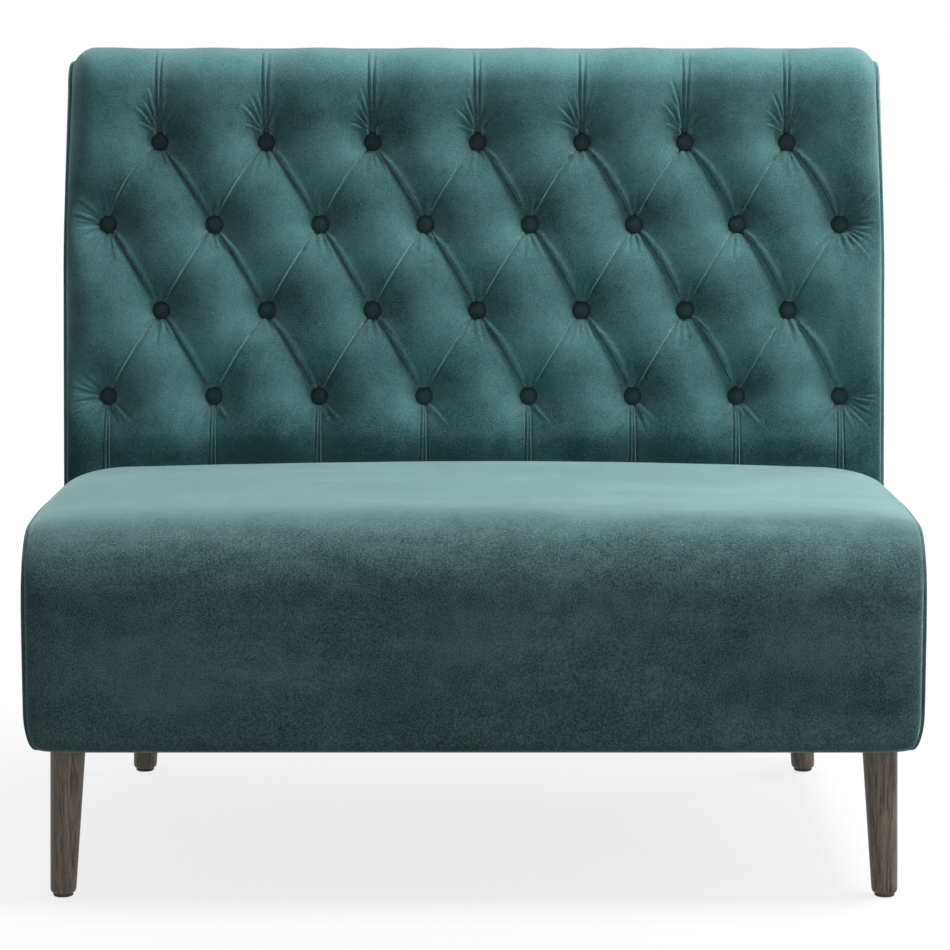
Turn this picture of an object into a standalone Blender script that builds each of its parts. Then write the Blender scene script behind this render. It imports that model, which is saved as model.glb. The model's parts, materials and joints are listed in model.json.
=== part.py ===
# Tufted banquette: an armless two-place seat with a diamond tufted back on four turned legs.
# Metres, +Z up. The front faces -Y and the origin lies on the floor, under the middle of the whole object.

import math

import bmesh
import bpy
from mathutils import Matrix, Vector

# Whole object
SEAT_WIDTH = 1.067
SEAT_DEPTH = 0.700
OVERALL_HEIGHT = 0.979
UNDERSIDE_HEIGHT = 0.1835
SEAT_HEIGHT = 0.462
BACK_DEPTH = 0.265
BACK_SET_IN = 0.006
BACK_LEAN = math.radians(8.0)

# Gaps: between pieces that touch, round a bolt or pin, and how far a cutter runs past what it cuts
CLEARANCE = 0.0003
BORE_CLEARANCE = 0.0006
OVERRUN = 0.004
MERGE_DISTANCE = 0.00003

# Faces that meet below these angles are shaded as one round surface
SMOOTH_ANGLE = math.radians(40)
TUFT_SMOOTH_ANGLE = math.radians(50)

# Upholstery
VELVET = 0.003
PANEL_EDGE = 0.001
FRONT_ROUND = 0.090
SEAT_SHOULDER_WIDTH = 0.085
SEAT_SHOULDER_DROP = 0.034
SEAT_FRONT_EDGE_WIDTH = 0.045
SEAT_FRONT_EDGE_DROP = 0.016
SEAT_CROWN = 0.010
SIDE_BULGE = 0.004
SEAT_WADDING = 0.020
BACK_TOP_ROUND = 0.048
BACK_TOP_FALL = 0.010
BACK_EDGE_WIDTH = 0.034
BACK_EDGE_DROP = 0.014
BACK_TUCK_RISE = 0.054
BACK_TOP_PAD = 0.026
TOP_PAD_SETBACK = 0.002
BACK_FOAM = 0.062
SHOULDER_SHARES = (1, 0.62, 0.32, 0.12, 0)
ROLLED_SHARES = (0.60, 0.22, 0)
PANEL_SHARES = (0, 0.2, 0.5, 0.8, 1)
BULGE_POWER = 4
FRONT_ROUND_STEPS = 5
SEAT_TOP_STEPS = 4
SEAT_FLAT_STEPS = 3
SIDE_TOP_STEPS = 5
BACK_ROUND_STEPS = 3
BACK_TOP_STEPS = 2
BACK_SIDE_STEPS = 4
BOARD_TOP_SHARE = 0.1

# Diamond tufts: the lowest row is a long one, every other row has one button less and sits half a
# pitch over, and there are as many rows as their spacing allows
LONG_ROW_BUTTONS = 8
END_BUTTON_MARGIN = 0.0533
ROW_SPACING = 0.109
LOWEST_ROW_RISE = 0.0828
TOP_ROW_MARGIN = 0.0706
BUTTON_DEPTH = 0.030
PLEAT_DEPTH = 0.016
DIMPLE_RADIUS = 0.030
CROWN_SHARE = 0.4
BUTTON_RADIUS = 0.012
BUTTON_EDGE = 0.0025
BUTTON_DOME = 0.0045
BUTTON_RIM_SHARE = 0.68
BUTTON_RIM_RISE_SHARE = 0.66
BUTTON_SIDES = 10
BUTTON_CLEARANCE = 0.0014
TWINE_RADIUS = 0.0014
TWINE_SIDES = 4
LACING_RADIUS = 0.0019
TWINE_HOLE_RADIUS = 0.0035
TWINE_HOLE_SIDES = 6

# Seat frame
RAIL_HEIGHT = 0.110
RAIL_UNDERSIDE = 0.1875
FRONT_RAIL_THICKNESS = 0.045
RAIL_THICKNESS = 0.024
MIDDLE_RAIL_THICKNESS = 0.030
MIDDLE_RAIL_DROP = 0.030
RAIL_EDGE = 0.002
SIDE_PADDING = 0.008
CORNER_BLOCK_LEG = 0.060
CORNER_BLOCK_HEIGHT = 0.070
LEG_BLOCK_SIZE = (0.064, 0.060, 0.050)

# Legs
LEG_FRONT_SET_IN = 0.047
LEG_REAR_SET_IN = 0.034
LEG_FRONT_SIDE_SET_IN = 0.046
LEG_REAR_SIDE_SET_IN = 0.091
LEG_TOP_RADIUS = 0.021
LEG_FOOT_RADIUS = 0.0155
LEG_FOOT_EDGE = 0.004
LEG_SPLAY = math.radians(1.7)
LEG_SIDES = 24
GLIDE_RADIUS = 0.012
GLIDE_THICKNESS = 0.003
GLIDE_SIDES = 16
PLATE_SIDE = 0.046
PLATE_THICKNESS = 0.0025
STUD_RADIUS = 0.004
STUD_LENGTH = 0.032
STUD_SIDES = 10
BORE_SIDES = 12

# Springs, cloths
SPRING_COUNT = 6
SPRING_SIDE_MARGIN = 0.087
SPRING_WIRE = 0.0019
SPRING_BARS = 15
SPRING_HALF_WIDTH = 0.020
SPRING_BEND = 0.006
TIE_WIRE = 0.0014
TIE_WIRE_SHARES = (0.30, 0.66)
CLIP_STRIP_WIDTH = 0.018
CLIP_STRIP = 0.0015
HESSIAN = 0.0015
DUST_COVER = 0.0012
DUST_COVER_INSET = 0.012
PLATE_MARGIN = 0.004

# Back frame
CHEEK_THICKNESS = 0.018
BACK_BOARD = 0.009
BACK_RAIL_THICKNESS = 0.024
BACK_RAIL_HEIGHT = 0.070
TOP_BOARD = 0.018
STILE_WIDTH = 0.042
STILE_THICKNESS = 0.024
STILE_PITCHES = 2.25
STRAP_HEIGHT = 0.030
STRAP_THICKNESS = 0.0025
STRAP_OVERHANG = 0.020
FIXING_STUD_LENGTH = 0.036
FIXING_HEIGHT_SHARE = 0.66
FIXING_RUN_SHARES = (0.25, 0.78)

# Places that follow from the sizes above
FRONT = -SEAT_DEPTH / 2
REAR = SEAT_DEPTH / 2
SEAT_RUN = SEAT_DEPTH - BACK_DEPTH
INSIDE_BACK = FRONT + SEAT_RUN
BACK_WIDTH = SEAT_WIDTH - 2 * BACK_SET_IN
SEAM_X_SEAT = SEAT_WIDTH / 2 - SIDE_BULGE - VELVET - CLEARANCE
SEAM_X_BACK = BACK_WIDTH / 2 - SIDE_BULGE - VELVET - CLEARANCE
RAIL_TOP = RAIL_UNDERSIDE + RAIL_HEIGHT
RAIL_OUTER_X = SEAM_X_SEAT - SIDE_PADDING - CLEARANCE
RAIL_INNER_X = RAIL_OUTER_X - RAIL_THICKNESS
CHEEK_OUTER_X = RAIL_INNER_X - CLEARANCE
CHEEK_INNER_X = CHEEK_OUTER_X - CHEEK_THICKNESS
REAR_FACE = REAR - VELVET - CLEARANCE
FRONT_RAIL_FRONT = FRONT + VELVET + SEAT_WADDING + 2 * CLEARANCE
FRONT_RAIL_REAR = FRONT_RAIL_FRONT + FRONT_RAIL_THICKNESS
REAR_RAIL_FRONT = REAR_FACE - RAIL_THICKNESS
PLATE_TOP = RAIL_UNDERSIDE - CLEARANCE
LEG_TOP = PLATE_TOP - PLATE_THICKNESS - CLEARANCE
LEG_FOOT = GLIDE_THICKNESS + CLEARANCE
LEG_FRONT_Y = FRONT + LEG_FRONT_SET_IN
LEG_REAR_Y = REAR - LEG_REAR_SET_IN
SPRING_END_Z = RAIL_TOP + CLEARANCE + SPRING_WIRE
CLIP_UNDERSIDE = SPRING_END_Z + SPRING_WIRE + CLEARANCE
HESSIAN_UNDERSIDE = CLIP_UNDERSIDE + CLIP_STRIP + CLEARANCE
PADDED_TOP = HESSIAN_UNDERSIDE + HESSIAN + CLEARANCE
FRONT_ROLL = min(FRONT_ROUND, SEAT_HEIGHT - SEAT_WADDING - PADDED_TOP)
TOP_BOARD_TOP = OVERALL_HEIGHT - VELVET - BACK_TOP_PAD - 2 * CLEARANCE
SIDES = {"left": -1, "right": 1}


def start_scene():
    """Remove what the scene holds and return one collection for the parts and one for the cutters."""
    for item in list(bpy.data.objects):
        bpy.data.objects.remove(item, do_unlink=True)
    made = []
    for title in ("Tufted banquette", "Cutters"):
        collection = bpy.data.collections.new(title)
        bpy.context.scene.collection.children.link(collection)
        made.append(collection)
    return made


PARTS, CUTTERS = start_scene()


def new_material(title, color, roughness, metallic=0.0):
    material = bpy.data.materials.new(title)
    material.use_nodes = True
    shader = material.node_tree.nodes["Principled BSDF"]
    shader.inputs["Base Color"].default_value = (*color, 1.0)
    shader.inputs["Roughness"].default_value = roughness
    shader.inputs["Metallic"].default_value = metallic
    return material


TEAL_VELVET = new_material("teal velvet", (0.045, 0.150, 0.155), 0.75)
STAINED_WOOD = new_material("dark stained wood", (0.065, 0.045, 0.036), 0.45)
FRAME_TIMBER = new_material("frame timber", (0.48, 0.33, 0.19), 0.70)
PLYWOOD = new_material("plywood", (0.55, 0.41, 0.25), 0.65)
FOAM = new_material("foam", (0.78, 0.74, 0.60), 0.95)
WADDING = new_material("wadding", (0.86, 0.86, 0.84), 0.95)
HESSIAN_CLOTH = new_material("hessian", (0.42, 0.32, 0.19), 0.95)
BLACK_CLOTH = new_material("black dust cloth", (0.020, 0.020, 0.022), 0.95)
SPRING_STEEL = new_material("spring steel", (0.30, 0.30, 0.31), 0.40, 1.0)
ZINC_STEEL = new_material("zinc plated steel", (0.60, 0.60, 0.58), 0.35, 1.0)
FELT = new_material("felt", (0.10, 0.09, 0.085), 0.95)
TWINE = new_material("waxed twine", (0.55, 0.50, 0.40), 0.85)


def add_object(name, mesh, material, collection=None):
    item = bpy.data.objects.new(name, mesh)
    (collection or PARTS).objects.link(item)
    if material:
        mesh.materials.clear()
        mesh.materials.append(material)
    return item


def mesh_from(bm, name, smooth_angle=None):
    """Turn a bmesh into a mesh with its faces pointing out, smooth where the angle allows."""
    bmesh.ops.recalc_face_normals(bm, faces=bm.faces[:])
    mesh = bpy.data.meshes.new(name)
    bm.to_mesh(mesh)
    bm.free()
    if smooth_angle is not None:
        mesh.shade_smooth()
        mesh.set_sharp_from_angle(angle=smooth_angle)
    return mesh


def hide_cutter(cutter):
    cutter.hide_render = True
    cutter.display_type = "WIRE"


def cut(target, cutter):
    """Take the cutter's shape out of the target."""
    modifier = target.modifiers.new("cut " + cutter.name, "BOOLEAN")
    modifier.operation = "DIFFERENCE"
    modifier.object = cutter


def join(target, other):
    """Add the other object's shape to the target, so that the two are one body."""
    modifier = target.modifiers.new("join " + other.name, "BOOLEAN")
    modifier.operation = "UNION"
    modifier.object = other


def add_bevel(item, width):
    modifier = item.modifiers.new("eased edges", "BEVEL")
    modifier.width = width
    modifier.segments = 1
    modifier.limit_method = "ANGLE"
    modifier.harden_normals = False


def span_cube(bm, low, high):
    """Add a box between two corners to a bmesh."""
    size = [high[axis] - low[axis] for axis in range(3)]
    middle = [(high[axis] + low[axis]) / 2 for axis in range(3)]
    matrix = Matrix.Translation(middle) @ Matrix.Diagonal((*size, 1))
    return bmesh.ops.create_cube(bm, size=1, matrix=matrix)


def add_box(name, low, high, material, edge=0, collection=None):
    bm = bmesh.new()
    span_cube(bm, low, high)
    item = add_object(name, mesh_from(bm, name), material, collection)
    if edge:
        add_bevel(item, edge)
    if collection == CUTTERS:
        hide_cutter(item)
    return item


def outline_body(name, outline, low, high, axis, material):
    """Extrude a flat outline between two places on an axis: x for (y, z) points, z for (x, y) points."""
    bm = bmesh.new()
    if axis == "x":
        corners = [bm.verts.new((low, first, second)) for first, second in outline]
        travel = Vector((high - low, 0, 0))
    else:
        corners = [bm.verts.new((first, second, low)) for first, second in outline]
        travel = Vector((0, 0, high - low))
    face = bm.faces.new(corners)
    moved = bmesh.ops.extrude_face_region(bm, geom=[face])["geom"]
    moved = [part for part in moved if isinstance(part, bmesh.types.BMVert)]
    bmesh.ops.translate(bm, verts=moved, vec=travel)
    return add_object(name, mesh_from(bm, name), material)


def pin(bm, start, end, radius, sides):
    """Add a closed round bar between two points to a bmesh."""
    start = Vector(start)
    end = Vector(end)
    turn = (end - start).to_track_quat("Z", "Y").to_matrix().to_4x4()
    matrix = Matrix.Translation((start + end) / 2) @ turn
    bmesh.ops.create_cone(bm, cap_ends=True, segments=sides, radius1=radius, radius2=radius,
                          depth=(end - start).length, matrix=matrix)


def lathe(bm, profile, place, sides):
    """Turn a profile of (radius, height) points that starts on the axis into a body with a flat base."""
    fresh = bmesh.new()
    corners = [fresh.verts.new((radius, 0, height)) for radius, height in profile]
    edges = [fresh.edges.new(pair) for pair in zip(corners, corners[1:])]
    bmesh.ops.spin(fresh, geom=corners + edges, cent=(0, 0, 0), axis=(0, 0, 1), angle=math.tau,
                   steps=sides, use_merge=True)
    bmesh.ops.remove_doubles(fresh, verts=fresh.verts[:], dist=MERGE_DISTANCE)
    bmesh.ops.holes_fill(fresh, edges=[edge for edge in fresh.edges if edge.is_boundary])
    bmesh.ops.transform(fresh, matrix=place, verts=fresh.verts[:])
    turned = bpy.data.meshes.new("turned")
    fresh.to_mesh(turned)
    fresh.free()
    bm.from_mesh(turned)
    bpy.data.meshes.remove(turned)


def turned_group(name, profile, places, sides, material, collection=None):
    """Copies of one turned shape in one object, each at its own matrix, to be joined to what links them."""
    bm = bmesh.new()
    for place in places:
        lathe(bm, profile, place, sides)
    return add_object(name, mesh_from(bm, name, SMOOTH_ANGLE), material, collection)


# A section is a line that runs from a start point in the (y, z) plane through straight runs and
# arcs that turn towards the rear. Its outer side is on its left.
def section_at(section, distance):
    """The (y, z) point and heading at a distance along a section."""
    y, z = section["start"]
    heading = section["heading"]
    left = distance
    for number, (length, radius) in enumerate(section["runs"]):
        last = number == len(section["runs"]) - 1
        step = left if last else min(left, length)
        if radius:
            turn = step / radius
            y += radius * (math.sin(heading) - math.sin(heading - turn))
            z += radius * (math.cos(heading - turn) - math.cos(heading))
            heading -= turn
        else:
            y += step * math.cos(heading)
            z += step * math.sin(heading)
        left -= step
        if left <= 0:
            break
    return y, z, heading


def on_section(section, x, distance, rise):
    """A point that stands out from the section by the rise."""
    y, z, heading = section_at(section, distance)
    return Vector((x, y - math.sin(heading) * rise, z + math.cos(heading) * rise))


SEAT_FACE = SEAT_HEIGHT - FRONT_ROLL - UNDERSIDE_HEIGHT
SEAT_ARC = FRONT_ROLL * math.pi / 2
SEAT_SECTION = {
    "start": (FRONT, UNDERSIDE_HEIGHT),
    "heading": math.pi / 2,
    "runs": [(SEAT_FACE, 0), (SEAT_ARC, FRONT_ROLL), (SEAT_DEPTH, 0)],
}

BACK_SLOPE_RISE = OVERALL_HEIGHT - SEAT_HEIGHT - BACK_TOP_ROUND * (1 - math.sin(BACK_LEAN))
BACK_SLOPE = BACK_SLOPE_RISE / math.cos(BACK_LEAN)
BACK_ARC = BACK_TOP_ROUND * (math.pi / 2 - BACK_LEAN)
BACK_TUCK = (SEAT_HEIGHT - PADDED_TOP - BACK_TUCK_RISE) / math.cos(BACK_LEAN)
TUFT_FIELD = BACK_SLOPE - LOWEST_ROW_RISE - TOP_ROW_MARGIN
ROW_GAPS = max(1, round(TUFT_FIELD / ROW_SPACING))
TUFT_ROW_PITCH = TUFT_FIELD / ROW_GAPS
TUFT_PITCH = 2 * (SEAM_X_BACK - END_BUTTON_MARGIN) / (LONG_ROW_BUTTONS - 1)
BUTTONS_BY_ROW = [LONG_ROW_BUTTONS - row % 2 for row in range(ROW_GAPS + 1)]
BACK_SECTION = {
    "start": (INSIDE_BACK, SEAT_HEIGHT),
    "heading": math.pi / 2 - BACK_LEAN,
    "runs": [(BACK_SLOPE, 0), (BACK_ARC, BACK_TOP_ROUND), (SEAT_DEPTH, 0)],
}
BACK_TOP_AT = BACK_SLOPE + BACK_ARC
BACK_TOP_END = BACK_TOP_AT + REAR_FACE - section_at(BACK_SECTION, BACK_TOP_AT)[0]
BOARD_TOP = BACK_SLOPE + BACK_ARC * BOARD_TOP_SHARE
BOARD_FRONT = BACK_FOAM + CLEARANCE
BOARD_REAR = BOARD_FRONT + BACK_BOARD

# Local frame of the leaning back: Z runs up its face and Y runs into it, square to the face
BACK_PLANE = Matrix.Translation((0, INSIDE_BACK, SEAT_HEIGHT)) @ Matrix.Rotation(-BACK_LEAN, 4, "X")
TOP_BOARD_FRONT = (BACK_PLANE @ Vector((0, BOARD_REAR + CLEARANCE, BOARD_TOP))).y


def inside_back_at(z):
    """Where the crown of the inside back lies at a height."""
    return INSIDE_BACK + (z - SEAT_HEIGHT) * math.tan(BACK_LEAN)


def quarter_drop(x, edge_x, width, drop):
    """How far a surface has rolled down at x, on an elliptical edge that ends at edge_x."""
    share = max(0, abs(x) - (edge_x - width)) / width
    return drop * (1 - math.sqrt(max(0, 1 - min(share, 1) ** 2)))


def seat_rise(x, distance):
    """Height of the seat's surface against its section: crowned, and rolled down at both sides."""
    heading = section_at(SEAT_SECTION, distance)[2]
    level = math.cos(heading)
    width = SEAT_FRONT_EDGE_WIDTH + (SEAT_SHOULDER_WIDTH - SEAT_FRONT_EDGE_WIDTH) * level
    drop = SEAT_FRONT_EDGE_DROP + (SEAT_SHOULDER_DROP - SEAT_FRONT_EDGE_DROP) * level
    crown = SEAT_CROWN * level * (x / SEAM_X_SEAT) ** 2
    return -crown - quarter_drop(x, SEAM_X_SEAT, width, drop)


def foam_rise(x, distance):
    """The foam's and the wadding's inner height: flat against the front rail, rounded on top."""
    return seat_rise(x, distance) * math.cos(section_at(SEAT_SECTION, distance)[2])


def button_places():
    """The (x, along the back) place of each button, lowest row first."""
    places = []
    for row, count in enumerate(BUTTONS_BY_ROW):
        along = LOWEST_ROW_RISE + row * TUFT_ROW_PITCH
        places += [((step - (count - 1) / 2) * TUFT_PITCH, along) for step in range(count)]
    return places


BUTTON_PLACES = button_places()
HIGHEST_ROW_RISE = LOWEST_ROW_RISE + (len(BUTTONS_BY_ROW) - 1) * TUFT_ROW_PITCH
END_BUTTON_X = max(x for x, along in BUTTON_PLACES)


def lattice(x, along):
    """Two coordinates that are whole numbers along the two families of diamond pleats."""
    column = x / TUFT_PITCH + BUTTONS_BY_ROW[0] % 2 / 2
    row = (min(max(along, LOWEST_ROW_RISE), HIGHEST_ROW_RISE) - LOWEST_ROW_RISE) / TUFT_ROW_PITCH
    return column + row / 2 + 1 / 2, column - row / 2 + 1 / 2


def back_rise(x, along):
    """Height of the tufted surface against its section: pillows, pleats and button dimples."""
    reach = min(math.hypot(x - place[0], along - place[1]) for place in BUTTON_PLACES)
    first, second = lattice(x, along)
    pillow = math.sqrt(abs(math.sin(math.pi * first) * math.sin(math.pi * second)))
    tuft = -PLEAT_DEPTH * (1 - pillow)
    tuft -= (BUTTON_DEPTH - PLEAT_DEPTH) * math.exp(-((reach / DIMPLE_RADIUS) ** 2))
    over_top = min(max(along - BACK_SLOPE, 0) / BACK_ARC, 1)
    to_side = min(max(abs(x) - (SEAM_X_BACK - BACK_EDGE_WIDTH), 0) / BACK_EDGE_WIDTH, 1)
    tuft *= (1 - over_top ** 2) * (1 - to_side ** 2)
    return tuft - top_fall(along) - quarter_drop(x, SEAM_X_BACK, BACK_EDGE_WIDTH, BACK_EDGE_DROP)


def top_fall(along):
    """How far the top of the back has fallen towards the rear."""
    return BACK_TOP_FALL * (max(along - BACK_TOP_AT, 0) / (BACK_TOP_END - BACK_TOP_AT)) ** 2


def steps_between(start, end, count):
    """Evenly spaced values after the start, up to and with the end."""
    return [start + (end - start) * step / count for step in range(1, count + 1)]


def flat_grid(columns, rows):
    """A flat sheet of quads whose vertices lie at the given x and y values."""
    bm = bmesh.new()
    bmesh.ops.create_grid(bm, x_segments=len(columns) - 1, y_segments=len(rows) - 1, size=1)
    for vertex in bm.verts:
        column = round((vertex.co.x + 1) / 2 * (len(columns) - 1))
        row = round((vertex.co.y + 1) / 2 * (len(rows) - 1))
        vertex.co = (columns[column], rows[row], 0)
    return bm


def thicken(bm, place, flat_back=False):
    """Close a flat sheet into a body: place(x, y, layer) puts layer 0 outside and layer 1 inside."""
    back = bmesh.ops.extrude_face_region(bm, geom=bm.faces[:])["geom"]
    back_verts = [part for part in back if isinstance(part, bmesh.types.BMVert)]
    back_faces = [part for part in back if isinstance(part, bmesh.types.BMFace)]
    layer_one = set(back_verts)
    for vertex in bm.verts:
        vertex.co = place(vertex.co.x, vertex.co.y, 1 if vertex in layer_one else 0)
    if flat_back:
        bmesh.ops.dissolve_faces(bm, faces=back_faces, use_verts=False)


def seat_sheet(name, rows, outer, inner, inner_rise, material):
    """A body that follows the seat's section between two depths below its surface."""
    bm = flat_grid(seat_columns(), rows)

    def place(x, distance, layer):
        rise = inner_rise(x, distance) - inner if layer else seat_rise(x, distance) - outer
        point = on_section(SEAT_SECTION, x, distance, rise)
        point.y = min(point.y, inside_back_at(point.z) - CLEARANCE)
        return point

    thicken(bm, place)
    bmesh.ops.triangulate(bm, faces=bm.faces[:])
    return add_object(name, mesh_from(bm, name, SMOOTH_ANGLE), material)


def make_seat_upholstery():
    """Velvet over wadding over foam; the side panels are sewn to the cover's edges."""
    arc = steps_between(SEAT_FACE, SEAT_FACE + SEAT_ARC, FRONT_ROUND_STEPS)
    top = steps_between(arc[-1], arc[-1] + SEAT_RUN - FRONT_ROLL + VELVET, SEAT_TOP_STEPS)
    cover_rows = [0, SEAT_FACE / 2, SEAT_FACE] + arc + top
    wadding_start = RAIL_UNDERSIDE - UNDERSIDE_HEIGHT
    wadding_rows = [wadding_start, SEAT_FACE] + arc + top
    under_cover = VELVET + CLEARANCE
    under_wadding = under_cover + SEAT_WADDING
    seat_sheet("seat_cover", cover_rows, 0, VELVET, seat_rise, TEAL_VELVET)
    seat_sheet("seat_wadding", wadding_rows, under_cover, under_wadding, foam_rise, WADDING)
    make_seat_foam([SEAT_FACE] + arc + top, under_wadding + CLEARANCE)
    for side, sign in SIDES.items():
        make_seat_side_panel("seat_side_panel_" + side, sign, arc)
        inner = RAIL_OUTER_X + CLEARANCE
        low, high = sorted((sign * inner, sign * (inner + SIDE_PADDING - CLEARANCE)))
        add_box("seat_side_pad_" + side, (low, FRONT_RAIL_FRONT + CLEARANCE, RAIL_UNDERSIDE),
                (high, REAR_FACE, RAIL_TOP), WADDING, RAIL_EDGE)


def seat_columns():
    shoulder = [SEAM_X_SEAT - SEAT_SHOULDER_WIDTH * share for share in SHOULDER_SHARES]
    flat = steps_between(0, shoulder[0], SEAT_FLAT_STEPS)[:-1]
    positive = flat + shoulder
    return [-x for x in reversed(positive)] + [0] + positive


def make_seat_foam(rows, depth):
    bm = flat_grid(seat_columns(), rows)

    def place(x, distance, layer):
        point = on_section(SEAT_SECTION, x, distance, foam_rise(x, distance) - depth)
        if layer:
            point.z = PADDED_TOP
        point.y = min(point.y, inside_back_at(point.z) - CLEARANCE)
        return point

    thicken(bm, place, flat_back=True)
    bmesh.ops.triangulate(bm, faces=bm.faces[:])
    add_object("seat_foam", mesh_from(bm, "seat_foam", SMOOTH_ANGLE), FOAM)


def bulge_at(across, up):
    """How far a sewn panel swells between its edges, as a share, at shares of its two sides."""
    return (1 - (2 * across - 1) ** BULGE_POWER) * (1 - (2 * up - 1) ** BULGE_POWER)


def make_seat_side_panel(name, sign, arc):
    """The panel's upper edge follows the seam, and it swells a little between its edges."""
    top_length = REAR_FACE - (FRONT + FRONT_ROLL)
    along = [SEAT_FACE] + arc + steps_between(arc[-1], arc[-1] + top_length, SIDE_TOP_STEPS)
    bm = flat_grid(along, PANEL_SHARES)

    def place(distance, up, layer):
        edge = on_section(SEAT_SECTION, SEAM_X_SEAT, distance, seat_rise(SEAM_X_SEAT, distance))
        across = (distance - along[0]) / (along[-1] - along[0])
        out = SEAM_X_SEAT + CLEARANCE + SIDE_BULGE * bulge_at(across, up) + (0 if layer else VELVET)
        return Vector((sign * out, edge.y, UNDERSIDE_HEIGHT + up * (edge.z - UNDERSIDE_HEIGHT)))

    thicken(bm, place)
    bmesh.ops.triangulate(bm, faces=bm.faces[:])
    add_object(name, mesh_from(bm, name, SMOOTH_ANGLE), TEAL_VELVET)


def back_columns():
    """Half pitches out to the end buttons, then two steps over the rolled edge."""
    halves = round(END_BUTTON_X / TUFT_PITCH * 2)
    inner = [step * TUFT_PITCH / 2 for step in range(-halves, halves + 1)]
    return [-x for x in reversed(rolled_columns())] + inner + rolled_columns()


def rolled_columns():
    """Where the sheet has vertices on its rolled edge, from the crown out to the seam."""
    return [SEAM_X_BACK - BACK_EDGE_WIDTH * share for share in ROLLED_SHARES]


def field_rows():
    """From the seat up to the start of the top edge, one step to a row of buttons."""
    field = steps_between(LOWEST_ROW_RISE, HIGHEST_ROW_RISE, len(BUTTONS_BY_ROW) - 1)
    return [0, LOWEST_ROW_RISE] + field + [BACK_SLOPE]


def arc_rows():
    return steps_between(BACK_SLOPE, BACK_TOP_AT, BACK_ROUND_STEPS)


def top_rows():
    return steps_between(BACK_TOP_AT, BACK_TOP_END, BACK_TOP_STEPS)


def in_field(point):
    return abs(point.x) < END_BUTTON_X and LOWEST_ROW_RISE < point.y < HIGHEST_ROW_RISE


def tufted_sheet(rows):
    """A flat sheet with edges along the pleats, a ring of crown points round each button and its hole."""
    bm = flat_grid(back_columns(), rows)
    field = [face for face in bm.faces if in_field(face.calc_center_median())]
    bmesh.ops.poke(bm, faces=field)
    buttons = [vertex for vertex in bm.verts if any(
        math.hypot(vertex.co.x - x, vertex.co.y - along) < CLEARANCE for x, along in BUTTON_PLACES)]
    for vertex in buttons:
        for edge in list(vertex.link_edges):
            run = edge.other_vert(vertex).co - vertex.co
            if min(abs(run.x), abs(run.y)) < CLEARANCE:
                bmesh.utils.edge_split(edge, vertex, CROWN_SHARE)
    holes = bmesh.ops.bevel(bm, geom=buttons, offset=TWINE_HOLE_RADIUS, offset_type="OFFSET", segments=1,
                            profile=0.5, affect="VERTICES")["faces"]
    bmesh.ops.delete(bm, geom=holes, context="FACES_ONLY")
    bmesh.ops.triangulate(bm, faces=bm.faces[:])
    return bm


def make_back_cover():
    bm = tufted_sheet([-BACK_TUCK] + field_rows() + arc_rows() + top_rows())

    def place(x, along, layer):
        return on_section(BACK_SECTION, x, along, back_rise(x, along) - (VELVET if layer else 0))

    thicken(bm, place)
    mesh = mesh_from(bm, "back_cover", TUFT_SMOOTH_ANGLE)
    add_object("back_cover", mesh, TEAL_VELVET)


def make_back_foam():
    """Foam with the tufted face in front, flat against the board behind, holed for the twines."""
    bm = tufted_sheet([-BACK_TUCK] + field_rows() + arc_rows())

    def place(x, along, layer):
        if layer:
            up = min(along, BACK_SLOPE) + max(along - BACK_SLOPE, 0) * BOARD_TOP_SHARE
            return BACK_PLANE @ Vector((x, BACK_FOAM, up))
        return on_section(BACK_SECTION, x, along, back_rise(x, along) - VELVET - CLEARANCE)

    thicken(bm, place)
    add_object("back_foam", mesh_from(bm, "back_foam", TUFT_SMOOTH_ANGLE), FOAM)


def make_back_top_pad():
    """Padding on the top board; its lower side is flat and its front edge leans to clear the foam."""
    right = [END_BUTTON_X] + rolled_columns()[:-1]
    bm = flat_grid([-x for x in reversed(right)] + right, [BACK_TOP_AT + TOP_PAD_SETBACK] + top_rows())

    def place(x, along, layer):
        point = on_section(BACK_SECTION, x, along, back_rise(x, along) - VELVET - CLEARANCE)
        if layer:
            point.z = TOP_BOARD_TOP + CLEARANCE
            point.y = max(point.y, TOP_BOARD_FRONT)
        return point

    thicken(bm, place, flat_back=True)
    bmesh.ops.triangulate(bm, faces=bm.faces[:])
    add_object("back_top_pad", mesh_from(bm, "back_top_pad"), WADDING)


def make_back_side_panel(name, sign):
    """Boxing down the side of the back, from the seat rail to the rolled top."""
    foot = (RAIL_TOP + CLEARANCE - SEAT_HEIGHT) / math.cos(BACK_LEAN)
    along = [foot, 0] + steps_between(0, BACK_SLOPE, BACK_SIDE_STEPS) + arc_rows()
    bm = flat_grid(along, PANEL_SHARES)

    def place(distance, across, layer):
        edge = on_section(BACK_SECTION, SEAM_X_BACK, distance, -BACK_EDGE_DROP)
        up = (distance - along[0]) / (along[-1] - along[0])
        out = SEAM_X_BACK + CLEARANCE + SIDE_BULGE * bulge_at(across, up) + (0 if layer else VELVET)
        y = edge.y + across * (REAR_FACE - edge.y)
        fall = up ** 2 * top_fall(BACK_TOP_AT + across * (BACK_TOP_END - BACK_TOP_AT))
        return Vector((sign * out, y, max(edge.z, RAIL_TOP + CLEARANCE) - fall))

    thicken(bm, place)
    bmesh.ops.triangulate(bm, faces=bm.faces[:])
    add_object(name, mesh_from(bm, name, SMOOTH_ANGLE), TEAL_VELVET)


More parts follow.
